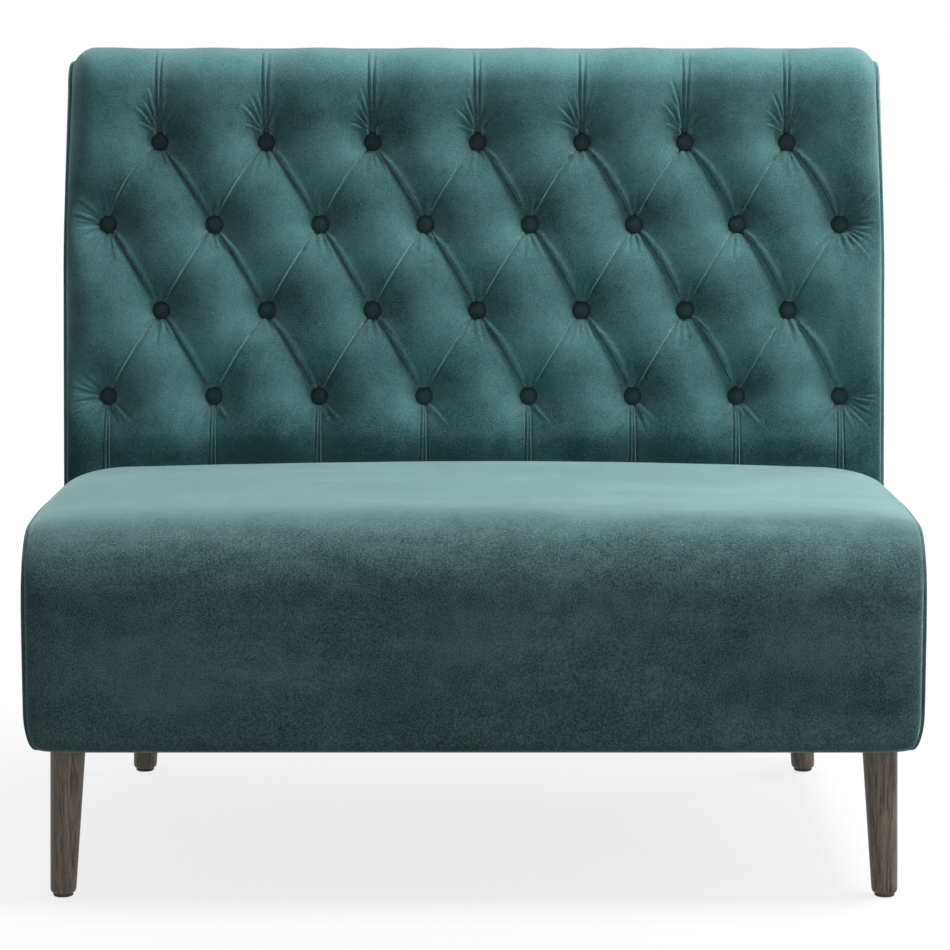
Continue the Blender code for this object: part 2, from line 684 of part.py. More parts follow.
def make_rear_panels():
    """The outside back and the seat's rear border, flat panels that meet at the seat's seam height."""
    seam_run = SEAT_FACE + SEAT_ARC + SEAT_RUN
    seam_z = on_section(SEAT_SECTION, SEAM_X_SEAT, seam_run, seat_rise(SEAM_X_SEAT, seam_run)).z
    right = [END_BUTTON_X] + rolled_columns() + [SEAM_X_BACK + CLEARANCE + VELVET]
    bm = flat_grid([-x for x in reversed(right)] + right, [0, 1])

    def place(x, up, layer):
        top = OVERALL_HEIGHT + back_rise(x, BACK_TOP_END)
        y = REAR_FACE + CLEARANCE + (0 if layer else VELVET)
        return Vector((x, y, seam_z + CLEARANCE + up * (top - seam_z - CLEARANCE)))

    thicken(bm, place)
    bmesh.ops.triangulate(bm, faces=bm.faces[:])
    add_object("outside_back_panel", mesh_from(bm, "outside_back_panel"), TEAL_VELVET)
    half = SEAM_X_SEAT + CLEARANCE + VELVET
    add_box("seat_rear_panel", (-half, REAR_FACE + CLEARANCE, UNDERSIDE_HEIGHT), (half, REAR, seam_z),
            TEAL_VELVET, PANEL_EDGE)


def place_on_back(item):
    """Set an object that is modelled in the leaning back's own frame."""
    item.matrix_world = BACK_PLANE


def facing(point, direction):
    """A matrix at a point, with its Z axis along a direction."""
    return Matrix.Translation(point) @ Vector(direction).to_track_quat("Z", "Y").to_matrix().to_4x4()


def pin_group(name, ends, radius, sides, material, collection=None):
    bm = bmesh.new()
    for start, end in ends:
        pin(bm, start, end, radius, sides)
    item = add_object(name, mesh_from(bm, name, SMOOTH_ANGLE), material, collection)
    if collection == CUTTERS:
        hide_cutter(item)
    return item


def leg_places():
    """Name, side sign, foot x and y for each leg."""
    ends = (("front", LEG_FRONT_SIDE_SET_IN, LEG_FRONT_Y), ("rear", LEG_REAR_SIDE_SET_IN, LEG_REAR_Y))
    return [(f"{end}_{side}", sign, sign * (SEAT_WIDTH / 2 - set_in), y)
            for end, set_in, y in ends for side, sign in SIDES.items()]


def leg_top_x(sign, foot_x):
    return foot_x - sign * math.tan(LEG_SPLAY) * (LEG_TOP - LEG_FOOT)


def make_leg(name, sign, x, y):
    """A tapered round leg that splays outwards, cut level at its foot and its top."""
    bm = bmesh.new()
    height = LEG_TOP - LEG_FOOT
    lift = Matrix.Translation((0, 0, height / 2))
    bmesh.ops.create_cone(bm, cap_ends=True, segments=LEG_SIDES, radius1=LEG_FOOT_RADIUS,
                          radius2=LEG_TOP_RADIUS, depth=height, matrix=lift)
    foot_edges = [edge for edge in bm.edges if all(vertex.co.z < height / 2 for vertex in edge.verts)]
    bmesh.ops.bevel(bm, geom=foot_edges, offset=LEG_FOOT_EDGE, segments=2, profile=0.5, affect="EDGES")
    for vertex in bm.verts:
        vertex.co.x -= sign * math.tan(LEG_SPLAY) * vertex.co.z
    leg = add_object("leg_" + name, mesh_from(bm, "leg_" + name, SMOOTH_ANGLE), STAINED_WOOD)
    leg.location = (x, y, LEG_FOOT)
    return leg


def make_legs():
    """Each leg with its glide below and, above it, a steel plate whose stud runs into the leg."""
    for name, sign, x, y in leg_places():
        top_x = leg_top_x(sign, x)
        bm = bmesh.new()
        pin(bm, (x, y, 0), (x, y, GLIDE_THICKNESS), GLIDE_RADIUS, GLIDE_SIDES)
        add_object("glide_" + name, mesh_from(bm, "glide_" + name, SMOOTH_ANGLE), FELT)
        half = PLATE_SIDE / 2
        plate = add_box("leg_plate_" + name, (top_x - half, y - half, PLATE_TOP - PLATE_THICKNESS),
                        (top_x + half, y + half, PLATE_TOP), ZINC_STEEL)
        inside_plate = PLATE_TOP - PLATE_THICKNESS / 2
        tip = LEG_TOP - STUD_LENGTH
        stud = pin_group("stud_" + name, [((top_x, y, tip), (top_x, y, inside_plate))], STUD_RADIUS,
                         STUD_SIDES, ZINC_STEEL, CUTTERS)
        join(plate, stud)
        bore_ends = [((top_x, y, tip - BORE_CLEARANCE), (top_x, y, LEG_TOP + OVERRUN))]
        bore = pin_group("stud_bore_" + name, bore_ends, STUD_RADIUS + BORE_CLEARANCE, BORE_SIDES, None,
                         CUTTERS)
        cut(make_leg(name, sign, x, y), bore)


def make_seat_frame():
    """Five rails, and in the corners two front glue blocks and two rear leg blocks."""
    bottom = RAIL_UNDERSIDE
    side_start = FRONT_RAIL_REAR + CLEARANCE
    between = RAIL_INNER_X - CLEARANCE
    add_box("seat_front_rail", (-RAIL_OUTER_X, FRONT_RAIL_FRONT, bottom),
            (RAIL_OUTER_X, FRONT_RAIL_REAR, RAIL_TOP), FRAME_TIMBER, RAIL_EDGE)
    add_box("seat_rear_rail", (-between, REAR_RAIL_FRONT, bottom), (between, REAR_FACE, RAIL_TOP),
            FRAME_TIMBER, RAIL_EDGE)
    add_box("seat_middle_rail", (-MIDDLE_RAIL_THICKNESS / 2, side_start, bottom),
            (MIDDLE_RAIL_THICKNESS / 2, REAR_RAIL_FRONT - CLEARANCE, RAIL_TOP - MIDDLE_RAIL_DROP),
            FRAME_TIMBER, RAIL_EDGE)
    for side, sign in SIDES.items():
        low, high = sorted((sign * RAIL_INNER_X, sign * RAIL_OUTER_X))
        add_box("seat_rail_" + side, (low, side_start, bottom), (high, REAR_FACE, RAIL_TOP),
                FRAME_TIMBER, RAIL_EDGE)
        corner = (sign * between, side_start)
        outline = [corner, (corner[0] - sign * CORNER_BLOCK_LEG, corner[1]),
                   (corner[0], corner[1] + CORNER_BLOCK_LEG)]
        outline_body("corner_block_" + side, outline, bottom, bottom + CORNER_BLOCK_HEIGHT, "z",
                     FRAME_TIMBER)
        near = CHEEK_INNER_X - CLEARANCE
        deep = REAR_RAIL_FRONT - CLEARANCE
        low, high = sorted((sign * near, sign * (near - LEG_BLOCK_SIZE[0])))
        add_box("leg_block_" + side, (low, deep - LEG_BLOCK_SIZE[1], bottom),
                (high, deep, bottom + LEG_BLOCK_SIZE[2]), FRAME_TIMBER, RAIL_EDGE)


SPRING_START = FRONT_RAIL_FRONT + FRONT_RAIL_THICKNESS / 2
SPRING_END = REAR_FACE - RAIL_THICKNESS / 2
SPRING_ARCH = CLIP_STRIP + CLEARANCE


def spring_level(y):
    """Height of the spring wire's middle: the springs arch a little between the rails."""
    return SPRING_END_Z + SPRING_ARCH * math.sin(math.pi * (y - SPRING_START) / (SPRING_END - SPRING_START))


def spring_points(x):
    """The zigzag of one spring, bar by bar from the front rail to the rear rail."""
    pitch = (SPRING_END - SPRING_START) / (SPRING_BARS - 1)
    points = []
    for bar in range(SPRING_BARS):
        side = 1 if bar % 2 else -1
        y = SPRING_START + bar * pitch
        run = [(-side * SPRING_HALF_WIDTH, y), (side * SPRING_HALF_WIDTH, y)]
        if bar < SPRING_BARS - 1:
            run.append((side * (SPRING_HALF_WIDTH + SPRING_BEND), y + pitch / 2))
        points += [Vector((x + across, along, spring_level(along))) for across, along in run]
    return points


def tube_mesh(name, runs, radius):
    """Wires along lists of points, as one closed mesh each, from a curve with a round bevel."""
    curve = bpy.data.curves.new(name, "CURVE")
    curve.dimensions = "3D"
    curve.bevel_depth = radius
    curve.bevel_resolution = 0
    curve.use_fill_caps = True
    for points in runs:
        spline = curve.splines.new("POLY")
        spline.points.add(len(points) - 1)
        for target, point in zip(spline.points, points):
            target.co = (*point, 1)
    guide = bpy.data.objects.new(name + "_guide", curve)
    CUTTERS.objects.link(guide)
    bpy.context.view_layer.update()
    shaped = guide.evaluated_get(bpy.context.evaluated_depsgraph_get())
    mesh = bpy.data.meshes.new_from_object(shaped)
    bpy.data.objects.remove(guide, do_unlink=True)
    bm = bmesh.new()
    bm.from_mesh(mesh)
    bpy.data.meshes.remove(mesh)
    bmesh.ops.remove_doubles(bm, verts=bm.verts[:], dist=MERGE_DISTANCE)
    return mesh_from(bm, name)


def make_springs():
    """Zigzag springs linked by two tie wires, a clip strip over each end, and the cloth on top."""
    reach = CHEEK_INNER_X - SPRING_SIDE_MARGIN
    places = [-reach] + steps_between(-reach, reach, SPRING_COUNT - 1)
    springs = add_object("spring_unit", tube_mesh("spring_unit", [spring_points(x) for x in places],
                                                  SPRING_WIRE), SPRING_STEEL)
    half = places[-1] + SPRING_HALF_WIDTH
    pitch = (SPRING_END - SPRING_START) / (SPRING_BARS - 1)
    ties = []
    for share in TIE_WIRE_SHARES:
        y = SPRING_START + round(share * (SPRING_BARS - 1)) * pitch
        z = spring_level(y) - TIE_WIRE
        ties.append([Vector((-half, y, z)), Vector((half, y, z))])
    wires = add_object("tie_wires", tube_mesh("tie_wires", ties, TIE_WIRE), SPRING_STEEL, CUTTERS)
    hide_cutter(wires)
    join(springs, wires)
    for name, y in (("front", SPRING_START), ("rear", SPRING_END)):
        add_box("spring_clip_strip_" + name, (-half, y - CLIP_STRIP_WIDTH / 2, CLIP_UNDERSIDE),
                (half, y + CLIP_STRIP_WIDTH / 2, CLIP_UNDERSIDE + CLIP_STRIP), ZINC_STEEL)
    add_box("spring_cover_cloth", (-RAIL_OUTER_X, FRONT_RAIL_FRONT, HESSIAN_UNDERSIDE),
            (RAIL_OUTER_X, inside_back_at(HESSIAN_UNDERSIDE) - CLEARANCE, HESSIAN_UNDERSIDE + HESSIAN),
            HESSIAN_CLOTH)


def make_dust_cover():
    """Black cloth under the frame, notched round the leg plates."""
    half = RAIL_OUTER_X - DUST_COVER_INSET
    front = FRONT_RAIL_FRONT + DUST_COVER_INSET
    rear = REAR_FACE - DUST_COVER_INSET
    reach = PLATE_SIDE / 2 + PLATE_MARGIN
    places = {name: (abs(leg_top_x(sign, x)) - reach, y) for name, sign, x, y in leg_places()}
    front_x, front_y = places["front_right"]
    rear_x, rear_y = places["rear_right"]
    right = [(front_x, front), (front_x, front_y + reach), (half, front_y + reach),
             (half, rear_y - reach), (rear_x, rear_y - reach), (rear_x, rear)]
    outline = right + [(-x, y) for x, y in reversed(right)]
    outline_body("dust_cover", outline, RAIL_UNDERSIDE - CLEARANCE - DUST_COVER,
                 RAIL_UNDERSIDE - CLEARANCE, "z", BLACK_CLOTH)


def cheek_outline(foot, notch):
    """Side outline behind the tufting board: (y, z) points from the foot up to the top board."""
    top = TOP_BOARD_TOP - TOP_BOARD - CLEARANCE
    lean = math.tan(BACK_LEAN)
    face = INSIDE_BACK + (BOARD_REAR + CLEARANCE) / math.cos(BACK_LEAN)
    outline = [(face + (foot - SEAT_HEIGHT) * lean, foot), (face + (top - SEAT_HEIGHT) * lean, top),
               (REAR_FACE, top)]
    if notch:
        step = RAIL_TOP + CLEARANCE
        deep = REAR_RAIL_FRONT - CLEARANCE
        return outline + [(REAR_FACE, step), (deep, step), (deep, foot)]
    return outline + [(REAR_FACE, foot)]


def make_back_frame():
    """Plywood cheeks, the tufting board across their front edges, cross rails and the top board."""
    cheeks = []
    for side, sign in SIDES.items():
        low, high = sorted((sign * CHEEK_INNER_X, sign * CHEEK_OUTER_X))
        cheeks.append(outline_body("back_cheek_" + side, cheek_outline(RAIL_UNDERSIDE, True), low, high,
                                   "x", PLYWOOD))
        low, high = sorted((sign * (CHEEK_OUTER_X + CLEARANCE), sign * SEAM_X_BACK))
        outline_body("back_side_pad_" + side, cheek_outline(RAIL_TOP + CLEARANCE, False), low, high,
                     "x", WADDING)
    board = add_box("tufting_board", (-SEAM_X_BACK, BOARD_FRONT, -BACK_TUCK),
                    (SEAM_X_BACK, BOARD_REAR, BOARD_TOP), PLYWOOD)
    place_on_back(board)
    between = CHEEK_INNER_X - CLEARANCE
    rail_front = BOARD_REAR + CLEARANCE
    rail_rear = rail_front + BACK_RAIL_THICKNESS
    middle_gap = LOWEST_ROW_RISE + (ROW_GAPS // 2 + 1 / 2) * TUFT_ROW_PITCH
    heights = {"back_lower_rail": LOWEST_ROW_RISE - BACK_RAIL_HEIGHT, "back_middle_rail": middle_gap}
    for name, middle in heights.items():
        rail = add_box(name, (-between, rail_front, middle - BACK_RAIL_HEIGHT / 2),
                       (between, rail_rear, middle + BACK_RAIL_HEIGHT / 2), FRAME_TIMBER, RAIL_EDGE)
        place_on_back(rail)
    low = heights["back_lower_rail"] - BACK_RAIL_HEIGHT / 2
    stile_front = rail_rear + CLEARANCE
    under_board = TOP_BOARD_TOP - TOP_BOARD - CLEARANCE - SEAT_HEIGHT
    high = (under_board + stile_front * math.sin(BACK_LEAN)) / math.cos(BACK_LEAN)
    for side, sign in SIDES.items():
        x = sign * TUFT_PITCH * STILE_PITCHES
        stile = add_box("back_stile_" + side, (x - STILE_WIDTH / 2, stile_front, low),
                        (x + STILE_WIDTH / 2, stile_front + STILE_THICKNESS, high), FRAME_TIMBER, RAIL_EDGE)
        place_on_back(stile)
    add_box("back_top_board", (-SEAM_X_BACK, TOP_BOARD_FRONT, TOP_BOARD_TOP - TOP_BOARD),
            (SEAM_X_BACK, REAR_FACE, TOP_BOARD_TOP), PLYWOOD)
    middle = (RAIL_TOP + TOP_BOARD_TOP) / 2
    add_box("back_rear_rail", (-between, REAR_FACE - BACK_RAIL_THICKNESS, middle - BACK_RAIL_HEIGHT / 2),
            (between, REAR_FACE, middle + BACK_RAIL_HEIGHT / 2), FRAME_TIMBER, RAIL_EDGE)
    return cheeks, board


def fix_cheeks(cheeks):
    """A steel strap inside each cheek, with two studs that run through it into the side rail."""
    start = cheek_outline(RAIL_UNDERSIDE, True)[0][0]
    run = REAR_RAIL_FRONT - start
    z = RAIL_UNDERSIDE + RAIL_HEIGHT * FIXING_HEIGHT_SHARE
    places = [start + run * share for share in FIXING_RUN_SHARES]
    for cheek, (side, sign) in zip(cheeks, SIDES.items()):
        face = sign * (CHEEK_INNER_X - CLEARANCE)
        inner = face - sign * STRAP_THICKNESS
        low, high = sorted((face, inner))
        strap = add_box("back_fixing_strap_" + side, (low, places[0] - STRAP_OVERHANG, z - STRAP_HEIGHT / 2),
                        (high, places[1] + STRAP_OVERHANG, z + STRAP_HEIGHT / 2), ZINC_STEEL)
        middle = (face + inner) / 2
        tip = face + sign * FIXING_STUD_LENGTH
        studs = pin_group("fixing_studs_" + side, [((middle, y, z), (tip, y, z)) for y in places],
                          STUD_RADIUS, STUD_SIDES, ZINC_STEEL, CUTTERS)
        join(strap, studs)
        past = tip + sign * BORE_CLEARANCE
        bore_ends = [((face - sign * OVERRUN, y, z), (past, y, z)) for y in places]
        bores = pin_group("fixing_bores_" + side, bore_ends, STUD_RADIUS + BORE_CLEARANCE, BORE_SIDES, None,
                          CUTTERS)
        cut(cheek, bores)
        cut(bpy.data.objects["seat_rail_" + side], bores)


def button_lift():
    """How far a button's rim stands off the bottom of its dimple, so that it just clears the sides."""
    x, along = BUTTON_PLACES[len(BUTTON_PLACES) // 2]
    lifts = []
    for run_x, run_along in ((TUFT_PITCH / 2, 0), (0, TUFT_ROW_PITCH)):
        out = CROWN_SHARE * math.hypot(run_x, run_along)
        climb = BUTTON_DEPTH + back_rise(x + CROWN_SHARE * run_x, along + CROWN_SHARE * run_along)
        lifts.append(climb * BUTTON_RADIUS / out)
    return max(lifts) + BUTTON_CLEARANCE


def make_buttons(board):
    """Each row's domed buttons are tied on one twine, laced from hole to hole behind the board."""
    seat = BUTTON_DEPTH - button_lift()
    rim = BUTTON_RADIUS * BUTTON_RIM_SHARE
    domed = [(0, BUTTON_EDGE + BUTTON_DOME), (rim, BUTTON_EDGE + BUTTON_DOME * BUTTON_RIM_RISE_SHARE),
             (BUTTON_RADIUS, BUTTON_EDGE), (BUTTON_RADIUS, 0)]
    lacing = BOARD_REAR + CLEARANCE + LACING_RADIUS
    ends = []
    for row in range(len(BUTTONS_BY_ROW)):
        along = LOWEST_ROW_RISE + row * TUFT_ROW_PITCH
        places = [x for x, level in BUTTON_PLACES if abs(level - along) < CLEARANCE]
        name = f"button_row_{row + 1}"
        buttons = turned_group(name, domed, [facing((x, seat, along), (0, -1, 0)) for x in places],
                               BUTTON_SIDES, TEAL_VELVET)
        twines = [(Vector((x, seat - BUTTON_EDGE, along)), Vector((x, lacing, along))) for x in places]
        ends += twines
        through = pin_group(name + "_twines", twines, TWINE_RADIUS, TWINE_SIDES, TWINE, CUTTERS)
        half = Vector((LACING_RADIUS, LACING_RADIUS, LACING_RADIUS))
        across = add_box(name + "_lacing", Vector((places[0], lacing, along)) - half,
                         Vector((places[-1], lacing, along)) + half, TWINE, collection=CUTTERS)
        for item in (buttons, through, across):
            place_on_back(item)
        join(buttons, through)
        join(buttons, across)
    over = Vector((0, OVERRUN, 0))
    bores = pin_group("twine_bores", [(first, last + over) for first, last in ends],
                      TWINE_HOLE_RADIUS, TWINE_HOLE_SIDES, None, CUTTERS)
    place_on_back(bores)
    cut(board, bores)


def main():
    make_legs()
    make_seat_frame()
    make_springs()
    make_dust_cover()
    make_seat_upholstery()
    cheeks, board = make_back_frame()
    fix_cheeks(cheeks)
    make_back_cover()
    make_back_foam()
    make_back_top_pad()
    for side, sign in SIDES.items():
        make_back_side_panel("back_side_panel_" + side, sign)
    make_rear_panels()
    make_buttons(board)


main()
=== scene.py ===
# %% [markdown]
# # The looks of a tufted banquette
# The real object is a timber and plywood frame with springs and foam, covered in teal velvet. The packed
# frame holds every piece at its real size, so this script only makes the surfaces that are seen: the
# tufted back, the seat, the sewn panels, the buttons and the legs. All lengths are in metres.

# %% Load the frame
import json
import math

import bmesh
import bpy
import numpy as np
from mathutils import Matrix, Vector
from mathutils.geometry import delaunay_2d_cdt


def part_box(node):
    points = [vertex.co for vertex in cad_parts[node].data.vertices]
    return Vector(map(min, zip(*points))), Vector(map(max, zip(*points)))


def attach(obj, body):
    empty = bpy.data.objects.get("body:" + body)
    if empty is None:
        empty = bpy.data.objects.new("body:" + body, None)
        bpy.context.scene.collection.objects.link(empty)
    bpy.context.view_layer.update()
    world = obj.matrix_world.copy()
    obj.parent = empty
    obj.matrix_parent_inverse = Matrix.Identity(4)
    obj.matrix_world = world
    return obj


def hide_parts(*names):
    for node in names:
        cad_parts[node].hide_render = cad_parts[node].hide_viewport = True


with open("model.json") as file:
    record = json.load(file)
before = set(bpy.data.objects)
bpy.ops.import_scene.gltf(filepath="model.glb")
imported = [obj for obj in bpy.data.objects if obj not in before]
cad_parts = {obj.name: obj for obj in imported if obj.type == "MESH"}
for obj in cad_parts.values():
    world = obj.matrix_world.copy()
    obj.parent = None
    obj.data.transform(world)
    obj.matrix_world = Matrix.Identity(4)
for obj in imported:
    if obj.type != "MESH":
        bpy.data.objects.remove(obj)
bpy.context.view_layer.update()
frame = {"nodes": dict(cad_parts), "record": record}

# %% [markdown]
# ## Sizes
# Widths, heights and depths are read from the nodes' boxes, so that nothing can drift from the frame.
# Only what a box can't say, such as how far the back leans and how round an edge is, is written here.

# %% Sizes from the frame, and those that the boxes don't give
seat_low, seat_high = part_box("seat_cover")
back_low, back_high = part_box("back_cover")
FRONT, UNDERSIDE, SEAT_HEIGHT = seat_low.y, seat_low.z, seat_high.z
TOP = back_high.z
SEAM_SEAT, SEAM_BACK = seat_high.x, back_high.x
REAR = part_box("outside_back_panel")[1].y
GAP = 0.0003
VELVET = 0.003
REAR_FACE = REAR - VELVET - GAP
SEAT_DEPTH = 0.435
INSIDE_BACK = FRONT + SEAT_DEPTH
LEAN = math.radians(8.0)
FRONT_ROUND = 0.090
TOP_ROUND = 0.048
TOP_FALL = 0.010
SIDE_BULGE = 0.004
UNDER_ROUND_FRONT = 0.010
UNDER_ROUND_SIDE = (0.014, 0.045)
SEAM_DIP = 0.0022
HEM = 0.022
SHARP_FOLD, SHARP_EDGE = math.radians(60), math.radians(50)
SAME_POINT = 0.00002
print("seat", round(2 * SEAM_SEAT, 4), "wide at the seams; back", round(2 * SEAM_BACK, 4))

# %% [markdown]
# ## Sections
# Both covers are one cloth that runs over straight and round stretches. A section is that run seen from
# the side: runs of a length and a radius, which is 0 where a run is straight. Working in (across, along the
# run) lets every fold be drawn flat, as an upholsterer marks it out, and laid on the form afterwards.


# %% A point on a section, for whole arrays of distances
def run_along(section, along):
    """y, z and heading at distances along a section, whose last run has no end; its left side faces out."""
    y = np.full_like(along, section["start"][0])
    z = np.full_like(along, section["start"][1])
    heading = np.full_like(along, section["heading"])
    left = along.copy()
    runs = section["runs"]
    for number, (length, radius) in enumerate(runs):
        low = -np.inf if number == 0 else 0
        step = np.clip(left, low, np.inf if number == len(runs) - 1 else length)
        if radius:
            turned = heading - step / radius
            y += radius * (np.sin(heading) - np.sin(turned))
            z += radius * (np.cos(turned) - np.cos(heading))
            heading = turned
        else:
            y += step * np.cos(heading)
            z += step * np.sin(heading)
        left = left - step
    return y, z, heading


def laid_on(section, x, along, rise):
    """Points that stand out from a section by a rise, as an array of (x, y, z) rows."""
    y, z, heading = run_along(section, along)
    return np.stack([x, y - np.sin(heading) * rise, z + np.cos(heading) * rise], axis=1)


STRAIGHT_ON = (1, 0)
SLOPE = (TOP - SEAT_HEIGHT - TOP_ROUND * (1 - math.sin(LEAN))) / math.cos(LEAN)
TOP_ARC = TOP_ROUND * (math.pi / 2 - LEAN)
BACK_SECTION = {"start": (INSIDE_BACK, SEAT_HEIGHT), "heading": math.pi / 2 - LEAN,
                "runs": [(SLOPE, 0), (TOP_ARC, TOP_ROUND), STRAIGHT_ON]}
TOP_AT = SLOPE + TOP_ARC
top_start = run_along(BACK_SECTION, np.array([TOP_AT]))[0][0]
BACK_END = TOP_AT + REAR_FACE - top_start
BACK_START = (back_low.z - SEAT_HEIGHT) / math.cos(LEAN)

UNDER_ARC = UNDER_ROUND_FRONT * math.pi / 2
SEAT_FACE = SEAT_HEIGHT - FRONT_ROUND - UNDERSIDE - UNDER_ROUND_FRONT
SEAT_ARC = FRONT_ROUND * math.pi / 2
SEAT_SECTION = {"start": (FRONT + UNDER_ROUND_FRONT + HEM, UNDERSIDE), "heading": math.pi,
                "runs": [(HEM, 0), (UNDER_ARC, UNDER_ROUND_FRONT), (SEAT_FACE, 0), (SEAT_ARC, FRONT_ROUND),
                         STRAIGHT_ON]}
SEAT_FACE_START = HEM + UNDER_ARC
TURN_START = SEAT_FACE_START + SEAT_FACE
SEAT_TOP_START = TURN_START + SEAT_ARC
print("back runs", round(BACK_END - BACK_START, 3), "m along; slope", round(SLOPE, 4))

# %% [markdown]
# ## The rolled edges
# Foam is softer at a corner, so the cover rolls down towards each seam. The roll is a quarter of an
# ellipse, wide and low. The seat's roll grows from the front panel to the top, and the back's from its
# face to its top corners, where the side panel carries it on past the seam. A roll has a width and a drop,
# and the names that end in ADDED or LOST say how they change from one end of the cloth to the other.

# %% How far the surface rolls down towards the side seams
SEAT_CROWN = 0.010
SEAT_ROLL, SEAT_ROLL_ADDED = 0.045, 0.040
SEAT_DROP_FRONT, SEAT_DROP_TOP, SEAT_DROP_ADDED = 0.016, 0.011, 0.023
BACK_ROLL, BACK_ROLL_LOST = 0.046, 0.009
BACK_DROP, BACK_DROP_ADDED = 0.014, 0.024
CORNER_PAST_SEAM = 0.0073
TAPER, TAPER_FROM, TAPER_RUN, TAPER_BEHIND = 0.0080, 0.25, 0.22, 0.12
CORNER, CORNER_RUN, CORNER_BEHIND = 0.0034, 0.028, 0.20


def quarter_drop(x, edge, width, drop):
    share = np.clip((np.abs(x) - (edge - width)) / width, 0, 1)
    return drop * (1 - np.sqrt(1 - share ** 2))


def seat_rise(x, along):
    """The crown of the seat and its roll, which grows towards the back."""
    level = np.clip(np.cos(run_along(SEAT_SECTION, along)[2]), 0, 1)
    rearward = np.clip((along - SEAT_TOP_START) / (INSIDE_BACK - FRONT - FRONT_ROUND), 0, 1) ** 2
    drop = SEAT_DROP_FRONT * (1 - level) + (SEAT_DROP_TOP + SEAT_DROP_ADDED * rearward) * level
    roll = quarter_drop(x, SEAM_SEAT, SEAT_ROLL + SEAT_ROLL_ADDED * level, drop)
    return -SEAT_CROWN * level * (x / SEAM_SEAT) ** 2 - roll


def back_edge_drop(x, along):
    """Tight down the face of the back, wide over its top corners, whose round ends past the seam."""
    heading = run_along(BACK_SECTION, along)[2]
    level = np.clip((np.cos(heading) - math.sin(LEAN)) / (1 - math.sin(LEAN)), 0, 1)
    edge, width = SEAM_BACK + CORNER_PAST_SEAM * level, BACK_ROLL - BACK_ROLL_LOST * level
    return quarter_drop(x, edge, width, BACK_DROP + BACK_DROP_ADDED * level)


def pulled_in(along, behind):
    """The sides of the back draw in towards its top corners, and less so behind its front edge."""
    taper = TAPER * np.clip((along - TAPER_FROM) / TAPER_RUN, 0, 1) ** 1.4
    taper = taper * np.clip(1 - behind / TAPER_BEHIND, 0, 1)
    corner = CORNER * np.clip(1 - (TOP_AT - along) / CORNER_RUN, 0, 1) ** 1.6
    return taper + corner * np.clip(1 - behind / CORNER_BEHIND, 0, 1)


def top_fall(along):
    """The top of the back falls away towards the rear."""
    return TOP_FALL * np.clip((along - TOP_AT) / (BACK_END - TOP_AT), 0, 1) ** 2


print("the back draws in by", round(TAPER + CORNER, 4), "at its top corners")

# %% [markdown]
# ## The diamond tufts
# Four rows of buttons pull the cloth and foam to the board. Between them the foam stands up in pillows,
# and the spare cloth lies in folds: diagonal ones from button to button, upright ones above the top row
# and below the lowest, and short ones from the end buttons to the seam. The rows were set by hand, so each
# hangs a little below its even place, drifts a few millimetres to the right in its middle, and is shifted as
# a whole. The lists below say how much, from the lowest row up.

# %% Where the buttons are
ROWS = (8, 7, 8, 7)
LOWEST = 0.0828
TOP_ROW_MARGIN = 0.0706
END_MARGIN = 0.0533
PITCH = 2 * (SEAM_BACK - END_MARGIN) / (max(ROWS) - 1)
ROW_PITCH = (SLOPE - LOWEST - TOP_ROW_MARGIN) / (len(ROWS) - 1)
ROW_LOWERED = (0.0010, 0.0005, 0.0, 0.0042)
ROW_LEVELS = [LOWEST + row * ROW_PITCH - lowered for row, lowered in enumerate(ROW_LOWERED)]
DRIFTS = (0.003, 0.004, 0.005, 0.0075)
ROW_SHIFTS = (0.0, 0.0, 0.0, -0.0027)
LAST_X = (max(ROWS) - 1) / 2 * PITCH


def drift(x, along):
    """How far the pattern has moved to the right at a place."""
    in_middle = np.cos(np.clip(x / LAST_X, -1, 1) * math.pi / 2)
    return np.interp(along, ROW_LEVELS, DRIFTS) * in_middle + np.interp(along, ROW_LEVELS, ROW_SHIFTS)


def button_place(row, number):
    x = (number - (ROWS[row] - 1) / 2) * PITCH
    along = ROW_LEVELS[row]
    return np.array([x + drift(x, along), along])


BUTTONS = {(row, number): button_place(row, number)
           for row, count in enumerate(ROWS) for number in range(count)}
print(len(BUTTONS), "buttons, pitch", round(PITCH, 4), "by", round(ROW_PITCH, 4))

# %% [markdown]
# A fold is a line on the flat cloth with a depth, a lip along one side and a fade along its length. There
# are four kinds: a flap, where the cloth from the upper right lies over in a flat wedge beside a sharp
# groove, a ridge, where it stands up in a thin cord, a tuck, which is wider and softer and runs over an edge
# or into a seam, and a gather, the short low crease at a button. Drawing them as data first has two uses:
# the mesh gets points that follow them, and the relief is summed from them.

# %% The folds, as lines on the flat cloth
draws = np.random.default_rng(11)
FOLDS = []
FOLD_SPACING = 0.004
FLAP_BOW = 0.0065
RIDGE_BOW, RIDGE_BOW_HIGH, RIDGE_BOW_FIRST = 0.0020, 0.0015, 0.0054
SPRAY_START, TUCK_START = 0.011, 0.0115
TOP_FAN = ((101, 0.072), (110, 0.060), (122, 0.048), (138, 0.036), (76, 0.064), (66, 0.052), (52, 0.040))
END_FAN = (-47, -33, -20, -8, 3, 14, 27, 41)
BELOW_LOWEST, BELOW_OTHERS = (-128, -112, -66, -50), (-130, -112, -96, -80, -64, -48)
ABOVE = (104, 90, 76)


